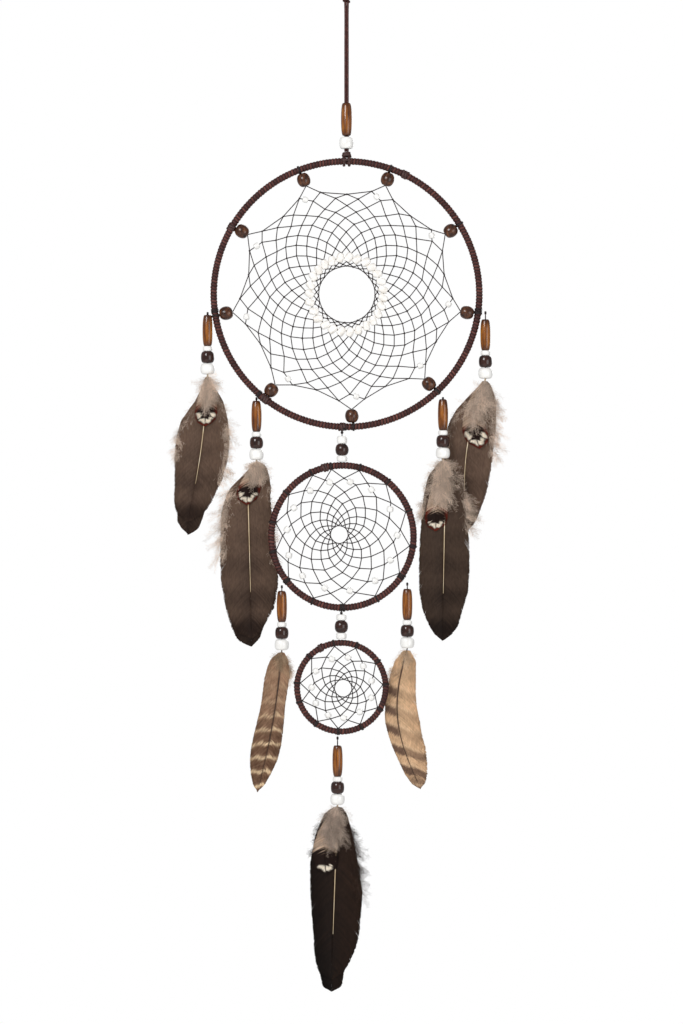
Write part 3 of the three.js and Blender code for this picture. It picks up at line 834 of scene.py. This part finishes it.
def makeLink(name, s):
    x, high, low = s["x"] * mm, s["top"] * mm, s["beads"][-1][1] * mm
    makePiece(name + "LinkThread", hangingThread(x, 0, high, low, stringSettings), s["body"], thread,
              name + "_link")
    for (top, bottom), (kind, bead) in zip(s["beads"], linkBeads.items()):
        radius, end, roundness, material, slot = bead
        profile = beadProfile(top - bottom, radius, radius * end, 0.8, roundness, 14)
        shape = turnBeads(profile, (x, 0, (top + bottom) / 2 * mm), (0, 0, 1), 32)
        makePiece(name + "Link" + kind, shape, s["body"], material, (), True)
    makeKnot(name + "LinkKnot", [(x, 0, high - 1.4 * mm)], (1.05, 0.95, 1.2), 9, 12, s["body"])
    # the tie sits a little to the -X side of its hoop's lowest place
    makeTie(name + "LinkTie", s["above"], 269.1, 2.4, stringSettings["tie"])


for name, settings in linkSettings.items():
    makeLink(name, settings)
print("links strung")


# feathers

# rows: distance down the shaft, reach to -X and reach to +X, in mm; under: a second feather behind;
# lean, bow, offset and back: where the shaft goes to the side and to the back, in mm;
# plume: the short feather on top, with u as half the opening of its cream mark in radians;
# down: tuft at the top; fringe: start, band, side, number of strands and length
feathers = {
    "left_outer": {
        "hoop": bigHoop, "kind": "brown", "tone": 1.0, "seed": 31,
        "lean": -14.6, "bow": 2.5, "offset": 0, "back": 1.2,
        "rows": [[5, 1.8, 1.7], [20, 8.3, 13], [35, 17.8, 18], [49, 19.9, 20.5], [63, 18.9, 21],
                 [77, 16.2, 19.5], [91, 14, 15.4], [99, 11.5, 12.5], [104, 8, 9.5], [108, 2, 4]],
        "under": [[70, 0.5, 0.5], [88, 8, 8], [100, 9.5, 11], [108, 8, 10.2], [114, 4, 7.5],
                  [117.5, 0.4, 4.5]],
        "plume": {"length": 38, "half": 8.6, "shift": 0.5, "lean": -2.2, "u": 1.75},
        "down": {"count": 120, "length": 21, "drift": 0.25, "band": 15},
        "fringe": [(22, 40, -1, 26, 12), (20, 60, 1, 46, 16)],
    },
    "left_inner": {
        "hoop": bigHoop, "kind": "brown", "tone": 0.92, "seed": 32,
        "lean": 3.5, "bow": 0, "offset": -7, "back": 5.6,
        "rows": [[4, 3, 7.2], [12.7, 9, 12], [21.5, 15, 16], [39, 20.5, 17.6], [56.7, 21.5, 19.4],
                 [74.4, 22.3, 21], [92, 21.8, 20.7], [101, 20.2, 19], [109.6, 19, 17],
                 [118.4, 16.5, 11.4], [127, 11.5, 7], [131, 5, 3]],
        "under": [[92, 0.5, 0.5], [110, 15, 8], [122, 15.5, 9], [130, 12, 6.5], [136, 7.5, 2],
                  [137, 5, 0.4]],
        "plume": {"length": 33, "half": 9.0, "shift": 0, "lean": 0, "u": 1.5},
        "down": {"count": 120, "length": 17, "drift": 0.0, "band": 10},
        "fringe": [(12, 55, -1, 70, 22), (15, 60, 1, 24, 10)],
    },
    "right_inner": {
        "hoop": bigHoop, "kind": "brown", "tone": 0.5, "seed": 33,
        "lean": -2.4, "bow": 0, "offset": 2, "back": 0,
        "rows": [[5, 5, 5], [14, 12, 12], [28, 16, 16.5], [42, 17, 17.5], [56, 18, 18.3],
                 [70, 18.4, 19.2], [84, 18.4, 19.3], [98, 17.8, 18.5], [112, 15, 14.5], [123, 10, 11.5],
                 [129, 6, 7], [133.5, 1.5, 3]],
        "plume": {"length": 53, "half": 8.8, "shift": -1.5, "lean": -7.5, "u": 1.2},
        "down": {"count": 190, "length": 23, "drift": 0.1, "band": 26},
        "fringe": [(10, 30, -1, 40, 14), (10, 40, 1, 50, 19)],
    },
    "right_outer": {
        "hoop": bigHoop, "kind": "brown", "tone": 1.1, "seed": 34,
        "lean": -13, "bow": -7.5, "offset": 0, "back": 6.2,
        "rows": [[5, 3, 6], [14, 9, 12], [23, 14.5, 15.5], [32, 17, 18], [40, 18, 19.5], [58, 18, 20.2],
                 [67, 17, 19.6], [76, 15, 18.3], [85, 12.5, 16], [93, 9.8, 12.6], [102, 6, 8.4],
                 [108, 3, 4.5], [111.5, 0.8, 1]],
        "plume": {"length": 51, "half": 9.6, "shift": -6.2, "lean": -4.2, "u": 1.9},
        "down": {"count": 170, "length": 24, "drift": 0.1, "band": 24},
        "fringe": [(8, 45, 1, 60, 18), (20, 30, -1, 24, 12)],
    },
    "left_lower": {
        "hoop": middleHoop, "kind": "barred", "tone": 1, "seed": 35,
        "lean": -18, "bow": 2.5, "offset": 0, "back": 0,
        "rows": [[2, 3, 2.5], [6.5, 7.7, 5], [12, 9.5, 6.6], [21, 11, 7.6], [41, 11, 7.2],
                 [60, 12.5, 8.9], [72, 12.6, 9.6], [81, 11.4, 9.2], [90, 8.6, 7], [98, 5, 4.4],
                 [104, 0.8, 0.8]],
        "down": {"count": 46, "length": 11, "drift": 0.15, "band": 8},
        "fringe": [(4, 18, 1, 20, 7)],
    },
    "right_lower": {
        "hoop": middleHoop, "kind": "tan", "tone": 1, "seed": 36,
        "lean": 10, "bow": -12, "offset": 0, "back": 4.4,
        "rows": [[2, 3, 3], [10, 7, 9.3], [24, 7.8, 12.3], [44, 9, 15], [54, 9.6, 16.4], [74, 8.2, 16.4],
                 [83, 7.3, 14], [93, 6.9, 9.9], [100, 5, 5], [103.5, 3, 0.5]],
        "down": {"count": 40, "length": 11, "drift": -0.1, "band": 8},
        "fringe": [(4, 18, -1, 14, 7)],
    },
    "bottom": {
        "hoop": smallHoop, "kind": "black", "tone": 1, "seed": 37,
        "lean": -4.5, "bow": 0, "offset": 0, "back": 0,
        "rows": [[2, 4, 4], [7, 10, 7.4], [22, 15.7, 12], [33, 17.5, 14.7], [44, 19, 17], [65, 18, 21],
                 [86, 15.8, 20.2], [96, 14.6, 19.6], [107, 13.7, 17.1], [117, 12, 12.5], [124, 9, 8.5],
                 [128, 5, 5]],
        "under": [[90, 0.5, 0.5], [108, 9, 8], [120, 9.5, 9.5], [130, 7.5, 8.5], [135, 6, 7], [137, 3, 5]],
        "plume": {"length": 51, "half": 10.5, "shift": -4, "lean": -8.5, "u": 0.85},
        "down": {"count": 170, "length": 24, "drift": -0.12, "band": 22},
        "fringe": [(12, 50, 1, 70, 20), (10, 24, -1, 20, 11)],
        "fringeTone": (70, 54, 46),
    },
}


def noise1(x, seed, scale):
    # a smooth random wave: three sines of nearby lengths
    rng = np.random.default_rng(seed)
    phase, rate = rng.uniform(0, tau, 3), rng.uniform(0.7, 1.6, 3) / scale
    return sum(np.sin(tau * r * x + p) for r, p in zip(rate, phase)) / 3


def brownVane(d, lateral, reach, each, length):
    base, deep = np.array(srgb(118, 96, 82)), np.array(srgb(44, 31, 25))
    # darker down the feather and along the shaft, with slow patches along the barbs
    across = np.abs(lateral) / np.maximum(reach, 1)
    t = 0.18 + 0.75 * (d / length) ** 1.4 - 0.3 * across + 0.14 * noise1(d, 5, 22) + each * 0.16
    t = np.clip(t + 0.25 * np.clip((d - 0.86 * length) / 10, 0, 1), 0, 1)[..., None]
    return base * (1 - t) + deep * t


def blackVane(d, lateral, reach, each, length):
    base, deep = np.array(srgb(56, 39, 30)), np.array(srgb(20, 13, 10))
    side = lateral / np.maximum(reach, 1)
    t = np.clip(0.4 + 0.5 * d / length - 0.3 * side + each * 0.22, 0, 1)[..., None]
    return base * (1 - t) + deep * t


def barredVane(d, lateral, reach, each, length):
    # mottled brown above; below, darker fields parted by thin wavy cream lines
    tan, dark, cream = (np.array(srgb(*c)) for c in ((190, 154, 126), (92, 64, 48), (240, 214, 176)))
    wave = d + 0.9 * np.sin(lateral * 0.7) - 0.12 * np.abs(lateral) + each * 0.9 + 1.3 * noise1(d, 9, 14)
    low = np.clip((d - 34) / 30, 0, 1)
    mottle = 0.5 + 0.5 * np.sin(d * 2.3 + lateral * 3.7 + 5 * each) * np.sin(d * 0.9 - lateral * 1.9)
    fade = 0.5 + 0.5 * np.cos(tau * wave / 10.4)
    darkness = np.clip(0.12 + 0.5 * mottle + 0.5 * low * fade ** 0.4, 0, 0.95)[..., None]
    line = np.exp(-((1 - fade) - 0.97) ** 2 / 0.006) * (0.15 + 0.8 * low)
    colour = tan * (1 - darkness) + dark * darkness
    return colour * (1 - line[..., None]) + cream * line[..., None]


def tanVane(d, lateral, reach, each, length):
    # cream tan with broad grey-brown bars, strong on the narrow -X side and faint on the other
    tan, dark, pale = (np.array(srgb(*c)) for c in ((226, 188, 150), (116, 90, 76), (244, 214, 178)))
    wave = d - 0.35 * lateral + 1.2 * noise1(lateral * 2, 3, 25) + each * 0.8
    bar = np.clip(np.sin(tau * wave / 14.5) * 1.8 + 0.25, 0, 1)
    side = np.where(lateral < 0, 1.0, 0.26 + 0.62 * np.clip((d - 66) / 18, 0, 1))
    tip = np.clip((d - length + 14 - 0.5 * np.abs(lateral)) / 7, 0, 1) * 0.75
    cream = np.exp(-((np.sin(tau * (wave + 4.2) / 14.5) - 1) / 0.16) ** 2)
    cream = cream * 0.55 * np.clip((d - 14) / 20, 0, 1)
    t = np.clip(np.maximum(bar * side * np.clip((d - 8) / 25, 0.12, 1), tip), 0, 0.95)[..., None]
    blush = np.clip(1 - np.abs(lateral) / np.maximum(reach, 1), 0, 1)[..., None] * 0.15
    t = t * (1 - 0.6 * cream[..., None])
    blush = np.maximum(blush, cream[..., None] * 0.8)
    mottle = 0.93 + 0.07 * np.sin(d * 2.1 + lateral * 2.9 + 4 * each)[..., None]
    return ((tan * (1 - blush) + pale * blush) * (1 - t) + dark * t) * mottle


def plumeVane(half, opening, dark):
    # down tone above, a dark heart, a broken cream U in its lower half, and a rim outside that
    beige, heart, cream = (np.array(srgb(*c)) for c in ((206, 180, 158), (34, 20, 15), (240, 230, 212)))
    rim = np.array(srgb(30, 19, 15) if dark else srgb(96, 34, 22))

    def paint(d, lateral, reach, each, length):
        middle = length - half * 1.05
        out = np.hypot(d - middle, lateral) / half
        turn = np.abs(np.arctan2(lateral, d - middle))
        out = out + 0.035 * each + 0.05 * np.sin(turn * 7 + 1.3 * np.sign(lateral))
        ring = np.exp(-((out - 0.6) / (0.15 + 0.04 * np.cos(turn * 4))) ** 4)
        ring = ring * (turn < opening + 0.12 * each)
        breaks = 1 - 0.95 * np.exp(-((turn - 1.05 - 0.12 * np.sign(lateral)) / 0.1) ** 2)
        spot = np.clip(ring * breaks * 1.4 * (np.abs(lateral) > 0.3), 0, 1)[..., None]
        outer = np.clip((out - 0.78) / 0.08, 0, 1)[..., None]
        colour = heart * (1 - outer) + rim * outer
        colour = colour * (1 - spot) + cream * spot
        soft = np.clip((middle - half * 0.55 - d + 2.5 * each) / 3.5, 0, 1)[..., None]
        smoke = beige * (0.86 + 0.2 * each[..., None])
        return colour * (1 - soft) + smoke * soft

    return paint


def shaftLine(s, d, origin, stretch=30.0):
    # centre of the shaft: leans evenly, bows like half a sine, and steps aside and back over a stretch
    length = s["rows"][-1][0]
    u = np.clip(d / length, 0, 1)
    step = np.clip(d / stretch, 0, 1)
    step = step * step * (3 - 2 * step)
    x = s["lean"] * u + s["bow"] * np.sin(np.pi * u) + s["offset"] * step
    y = (s["back"] - s["y"]) * step + s.get("forward", 0)
    return np.stack([origin[0] + x * mm, origin[1] + y * mm, origin[2] - d * mm], -1)


def outlineOf(rows, sign):
    # reach of the outline on the -X or +X side at every tenth of a millimetre, smoothed over a few
    # millimetres; over the last 4 mm it closes like the square root of the distance left
    table = np.array(rows, float)
    dense = np.linspace(0, table[-1, 0], int(table[-1, 0] * 10))
    w = np.interp(dense, np.append(0, table[:, 0]), np.append(0.4, table[:, 1 if sign < 0 else 2]))
    kernel = np.hanning(51) / np.hanning(51).sum()
    w = np.convolve(np.pad(w, 25, "edge"), kernel, "valid")
    return dense, w * np.sqrt(np.clip((dense[-1] - dense) / 4, 0, 1))


# spacing of the barbs, camber across the vane and depth behind the shaft, in mm; slant: fall of a
# barb for each mm out; loose: how much the barbs stray
vaneStyle = {"spacing": 0.4, "camber": 2.2, "slant": 1.15, "loose": 0.0, "depth": 0.0}
underStyle = dict(vaneStyle, depth=0.5)
plumeStyle = {"spacing": 0.3, "camber": 1.6, "slant": 0.6, "loose": 0.06, "depth": 0.0}
# splits: their number, the room they open in mm, and how far along the vane that room fades
splitStyle = {"count": 4, "gap": (0.3, 0.9), "fade": 2.2}


def makeVane(s, origin, paint, rows, style):
    # barbs: each starts on the shaft, runs out and down in a curve, and ends on the outline.
    # lateral = w(d1)*(1.2u - 0.2u^2), distance = d0 + (d1 - d0)*u^1.2, with u from 0 to 1
    loose = style["loose"]
    rng = np.random.default_rng(s["seed"])
    length = rows[-1][0]
    widest = np.array(rows)[:, 1:].max()
    shapes, colours = [], []
    u = np.linspace(0, 1, 8)[None]
    for sign in (-1, 1):
        dense, w = outlineOf(rows, sign)
        first = max(rows[0][0] - 4, 1.2)
        # where the outline widens faster than the barbs slant, they all start near the top
        starts = np.maximum(np.maximum.accumulate(dense - style["slant"] * w), first + dense * 0.06)
        run = np.maximum(np.maximum(np.diff(dense), np.diff(starts)), np.abs(np.diff(w)) * 0.8)
        run = np.append(0, np.cumsum(run))
        d1 = np.interp(np.arange(2.0, run[-1], style["spacing"]), run, dense)
        d0 = np.interp(d1, dense, starts)
        kept = d0 < d1 - 0.05
        d0, d1 = d0[kept], d1[kept]
        count = len(d0)
        reach = np.maximum(np.interp(d1, dense, w), 0.3)
        each = rng.uniform(-1, 1, count)
        # splits: barbs draw apart on both sides of a few places, most at their ends
        places = rng.uniform(0.2, 0.97, splitStyle["count"]) * length
        gap = rng.uniform(*splitStyle["gap"], splitStyle["count"]) * (0.8 + loose)
        shift = sum(k * np.sign(d1 - p) * np.exp(-np.abs(d1 - p) / splitStyle["fade"])
                    for p, k in zip(places, gap))
        comb = 0.25 * noise1(d1, s["seed"] + 3, 5.0) + loose * rng.normal(0, 1.4, count)
        ragged = 1 - 0.02 * np.abs(rng.normal(0, 1, count)) - 0.025 * np.abs(noise1(d1, s["seed"] + 8, 3))
        ragged = ragged - loose * rng.uniform(0, 0.35, count)
        v = u * ragged[:, None]
        d = d0[:, None] + (d1 - d0)[:, None] * v ** 1.2 + (shift + comb)[:, None] * v ** 3
        out = reach[:, None] * (1.2 * v - 0.2 * v ** 2)
        lift = (style["camber"] * (out / widest) ** 2 + 0.1 * ((np.arange(count) % 3) - 1)[:, None] * u
                + 0.4 * noise1(d, s["seed"] + sign, 40) * out / widest + style["depth"]
                + loose * rng.normal(0, 1, count)[:, None] * u ** 2 * 1.2)
        path = shaftLine(s, d, origin) + np.stack([sign * out, lift, 0 * out], -1) * mm
        # a barb is a little wider than its distance to the next, measured square to itself
        along = unit(np.gradient(path, axis=1))
        apart = np.gradient(path, axis=0)
        apart = np.linalg.norm(apart - (apart * along).sum(-1, keepdims=True) * along, axis=-1)
        half = np.clip(apart * (0.8 - 0.16 * u ** 6) * (1 - 0.45 * loose * u), 0.09 * mm, 0.7 * mm)
        normal = np.stack([0.25 * sign + 0 * out, -1 + 0 * out, 0.3 + 0 * out], -1)
        shapes.append(sweep(path, normal, half, (0.075 - 0.045 * u) * mm, 4))
        tint = paint(d, sign * out, reach[:, None] + 0 * u, each[:, None] + 0 * u, length)
        # each barb's tone differs a little at random, and every barb grows lighter towards its tip: a
        # painted highlight along the vane's edges
        tint = tint * (1 + 0.1 * each[:, None, None]) * (0.9 + 0.12 * u[..., None])
        colours.append(np.repeat(tint[:, :, None], 4, 2))
    return np.concatenate(shapes), np.concatenate(colours)


# half width and half thickness at the root, side strands to a main one, and their reach, all in mm
downStyle = {"main": (0.13, 0.05), "fine": (0.055, 0.035), "perStrand": 14, "reach": (1.4, 4.2)}


def makeDown(s, origin, count, length, heading, start, band, seed, tone, y=-0.6, edge=0.0):
    # soft down: curved main strands, each with short fine side strands off its whole length;
    # heading: mean and spread of their lean; edge: roots at the outline, by this share and side
    rng = np.random.default_rng(seed)
    steps, (mean, spread) = 9, heading
    wide, thick = downStyle["main"]
    u = np.linspace(0, 1, steps)[None]
    d0 = start + rng.uniform(0, 1, count) * band
    lean = mean + rng.normal(0, spread, count)
    size = length * rng.uniform(0.45, 1.0, count) * (1 - 0.2 * np.abs(lean))
    angle = lean[:, None] + (rng.normal(0, 0.45, count) - 0.45 * np.sign(lean))[:, None] * u * 0.9
    step = size[:, None] / (steps - 1)
    x = np.cumsum(np.sin(angle) * step, 1) - np.sin(angle[:, :1]) * step
    z = np.cos(angle[:, :1]) * step - np.cumsum(np.cos(angle) * step, 1)
    bulge = 0.9 * np.sin(u * np.pi) + np.abs(rng.normal(0, 1, count))[:, None] * u * 1.5
    bulge = y - bulge * (0.2 if edge else 1)
    root = shaftLine(s, d0, origin)
    if edge:
        dense, w = outlineOf(s["rows"], edge)
        root[:, 0] += edge * np.interp(d0 - 4, dense, w) * rng.uniform(0.7, 1.0, count) * mm
    path = root[:, None] + np.stack([x, bulge + 0 * x, z], -1) * mm
    mains = sweep(path, (0, -1, 0.1), (wide - 0.09 * u) * mm + 0 * x, (thick - 0.025 * u) * mm + 0 * x, 4)
    # side strands start at even places along each main strand, to the left and to the right
    at = np.linspace(0.06, 0.97, downStyle["perStrand"])
    low = np.floor(at * (steps - 1)).astype(int)
    part = (at * (steps - 1) - low)[None, :, None]
    base = path[:, low] * (1 - part) + path[:, np.minimum(low + 1, steps - 1)] * part
    along = unit(path[:, np.minimum(low + 1, steps - 1)] - path[:, low])
    side = np.cross(along, np.array([0, 1.0, 0]))
    v = np.linspace(0, 1, 4)[None, None, :, None]
    fine = []
    for sign in (-1, 1):
        reach = rng.uniform(*downStyle["reach"], (count, len(at))) * (1.1 - 0.65 * at)
        reach = reach[..., None, None] * mm
        lift = rng.normal(0, 0.35, (count, len(at)))[..., None, None] * np.array([0, 1.0, 0])
        bend = rng.normal(0.35, 0.35, (count, len(at)))[..., None, None]
        direction = (0.5 + bend * v) * along[:, :, None]
        direction = direction + sign * side[:, :, None] * (1 - 0.5 * bend * v) + lift
        fine.append((base[:, :, None] + direction * reach * v).reshape(-1, 4, 3))
    fine = np.concatenate(fine)
    fineShape = sweep(fine, (0, -1, 0.1), *(np.array(downStyle["fine"]) * mm), 3)
    tone = np.array(srgb(*tone))
    shade = rng.uniform(0.5, 1.15, (count, 1, 1, 1))
    mainTint = tone * shade + np.zeros((count, steps, 4, 3))
    fineShade = np.tile(np.repeat(shade[:, 0], len(at), 0), (2, 1, 1))[:, None]
    fineTint = tone * fineShade * 1.06 + np.zeros((len(fine), 4, 3, 3))
    return [(mains, mainTint), (fineShape, fineTint)]


# stub: how far the quill goes up into the cap bead, and proud: how far it stands out, in mm;
# taper: what it loses of its radius by the tip
quillStyle = {"stub": 3.2, "proud": 0.35, "taper": 0.75, "flat": 0.85, "steps": 70, "sides": 10}


def makeQuill(name, s, origin, body, length, thick, material):
    # a rod that tapers along the shaft line and stands a little proud of the vane
    q = quillStyle
    d = np.linspace(-q["stub"], length, q["steps"])
    line = shaftLine(s, np.maximum(d, 0), origin)
    line[:, 2] = origin[2] - d * mm
    line[:, 1] -= q["proud"] * mm
    r = thick * (1 - q["taper"] * np.linspace(0, 1, q["steps"]) ** 0.8) * mm
    makePiece(name, sweep(line, (0, -1, 0), r, r * q["flat"], q["sides"]), body, material)


# each kind of feather; quill: its seen share of the length, its thickness in mm and its material
kinds = {
    "brown": {"paint": brownVane, "down": (236, 216, 199), "slot": "brown_feather",
              "quill": (0.74, 0.66, quillHorn)},
    "black": {"paint": blackVane, "down": (208, 190, 176), "slot": "black_feather",
              "quill": (0.74, 0.66, quillHorn)},
    "barred": {"paint": barredVane, "down": (214, 186, 156), "slot": "barred_feather",
               "quill": (0.95, 0.5, darkQuill)},
    "tan": {"paint": tanVane, "down": (240, 214, 184), "slot": "barred_feather",
            "quill": (0.95, 0.5, darkQuill)},
}
# each bead of a pendant: material, slot, roundness, and width of its ends as a share of its radius
pendantBeads = {
    "barrel": (amberWood, "barrel_wood", 2.3, 0.6),
    "dark": (darkGlaze, "dark_bead", 2.4, 0.55),
    "cap": (whiteGlaze, "white_bead", 2.5, 0.5),
}
spacerBead = {"radius": 3.55, "end": 2.6, "bore": 0.8, "roundness": 2.4, "steps": 12}
# the knot over the barrel: its two balls' distance below the thread's top and their radii, in mm
pendantKnot = {"below": (0.7, 1.7), "radii": (0.85, 0.8, 0.8)}


def makeStack(name, label, body, hoop):
    # thread, beads, knot and tie of a pendant; gives back the place of its thread
    low, high = (np.array(c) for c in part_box(name + "_string"))
    x, y, _ = (low + high) / 2
    makePiece(label + "Thread", hangingThread(x, y, high[2], low[2], stringSettings), body, thread,
              name + "_string")
    for kind, bead in pendantBeads.items():
        nodeBead(label + kind.title(), f"{name}_{kind}_bead", body, *bead)
    # the small white bead fills the room between the barrel and the dark bead
    above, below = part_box(name + "_barrel_bead")[0][2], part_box(name + "_dark_bead")[1][2]
    profile = beadProfile((above - below) / mm - 0.1, *spacerBead.values())
    spacer = turnBeads(profile, (x, y, (above + below) / 2), (0, 0, 1), 28)
    makePiece(label + "Spacer", spacer, body, whiteGlaze, (), True)
    balls = [(x, y, high[2] - below * mm) for below in pendantKnot["below"]]
    makeKnot(label + "Knot", balls, pendantKnot["radii"], 8, 10, body)
    where = np.degrees(np.arctan2(high[2] - hoop["centre"][2], x - hoop["centre"][0]))
    makeTie(label + "Tie", hoop, where, 2.6, stringSettings["tie"])
    return x, y


def plumeRows(half, size):
    # outline of a plume: it widens evenly to a round end
    share = [(size * 0.3, 0.6), (size - half * 1.9, 0.9), (size - half * 1.1, 1),
             (size - half * 0.5, 0.84), (size - half * 0.15, 0.5), (size, 0.15)]
    return [[d, half * w, half * w] for d, w in [(2, 0.2)] + share]


def makePendant(name, s):
    body, stem = name + "_pendant", name.split("_")
    label = stem[0] + "".join(w.title() for w in stem[1:])
    x, y = makeStack(name, label, body, s["hoop"])
    origin = np.array([x, y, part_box(name + "_cap_bead")[0][2] - 0.3 * mm])
    s["y"] = y / mm
    kind, slot = kinds[s["kind"]], kinds[s["kind"]]["slot"]

    def toned(*place):
        return kind["paint"](*place) * s["tone"]

    def shaded(*place):
        # the feather behind lies in the other's shade
        return toned(*place) * 0.72

    parts = [makeVane(s, origin, toned, s["rows"], vaneStyle)]
    if "under" in s:
        parts.append(makeVane(dict(s, seed=s["seed"] + 9), origin, shaded, s["under"], underStyle))
    makeTinted(label + "Vane", parts, body, name + "_feather")
    seen, thick, horn = kind["quill"]
    makeQuill(label + "Quill", s, origin, body, s["rows"][-1][0] * seen, thick, horn)
    d, tone = s["down"], kind["down"]
    parts = makeDown(s, origin, d["count"] // 3, d["length"], (d["drift"], 0.8), 0.5, d["band"],
                     s["seed"] + 50, tone)
    for start, band, side, count, reach in s["fringe"]:
        parts += makeDown(s, origin, count, reach, (side * 0.9, 0.25), start, band,
                          s["seed"] + 70 + start + side, s.get("fringeTone", tone), 1.5, side * 0.95)
    if "plume" in s:
        p = s["plume"]
        half, size = p["half"], p["length"]
        rows = plumeRows(half, size)
        tuft = dict(s, lean=p["lean"], bow=p["shift"], forward=-1.5, rows=rows)
        paint = plumeVane(half, p["u"], s["kind"] == "black")
        makeTinted(label + "Plume", [makeVane(tuft, origin, paint, rows, plumeStyle)], body, ())
        # down over the plume's upper part, in front of it
        band = max(size - half * 1.9 - d["length"] * 0.55, 4)
        parts += makeDown(dict(tuft, forward=-2), origin, d["count"] * 2 // 3, d["length"] * 0.8,
                          (d["drift"] * 0.6, 0.62), 0.5, band, s["seed"] + 60, tone)
    makeTinted(label + "Down", parts, body, ())


for name, settings in feathers.items():
    makePendant(name, settings)
    print("pendant", name)
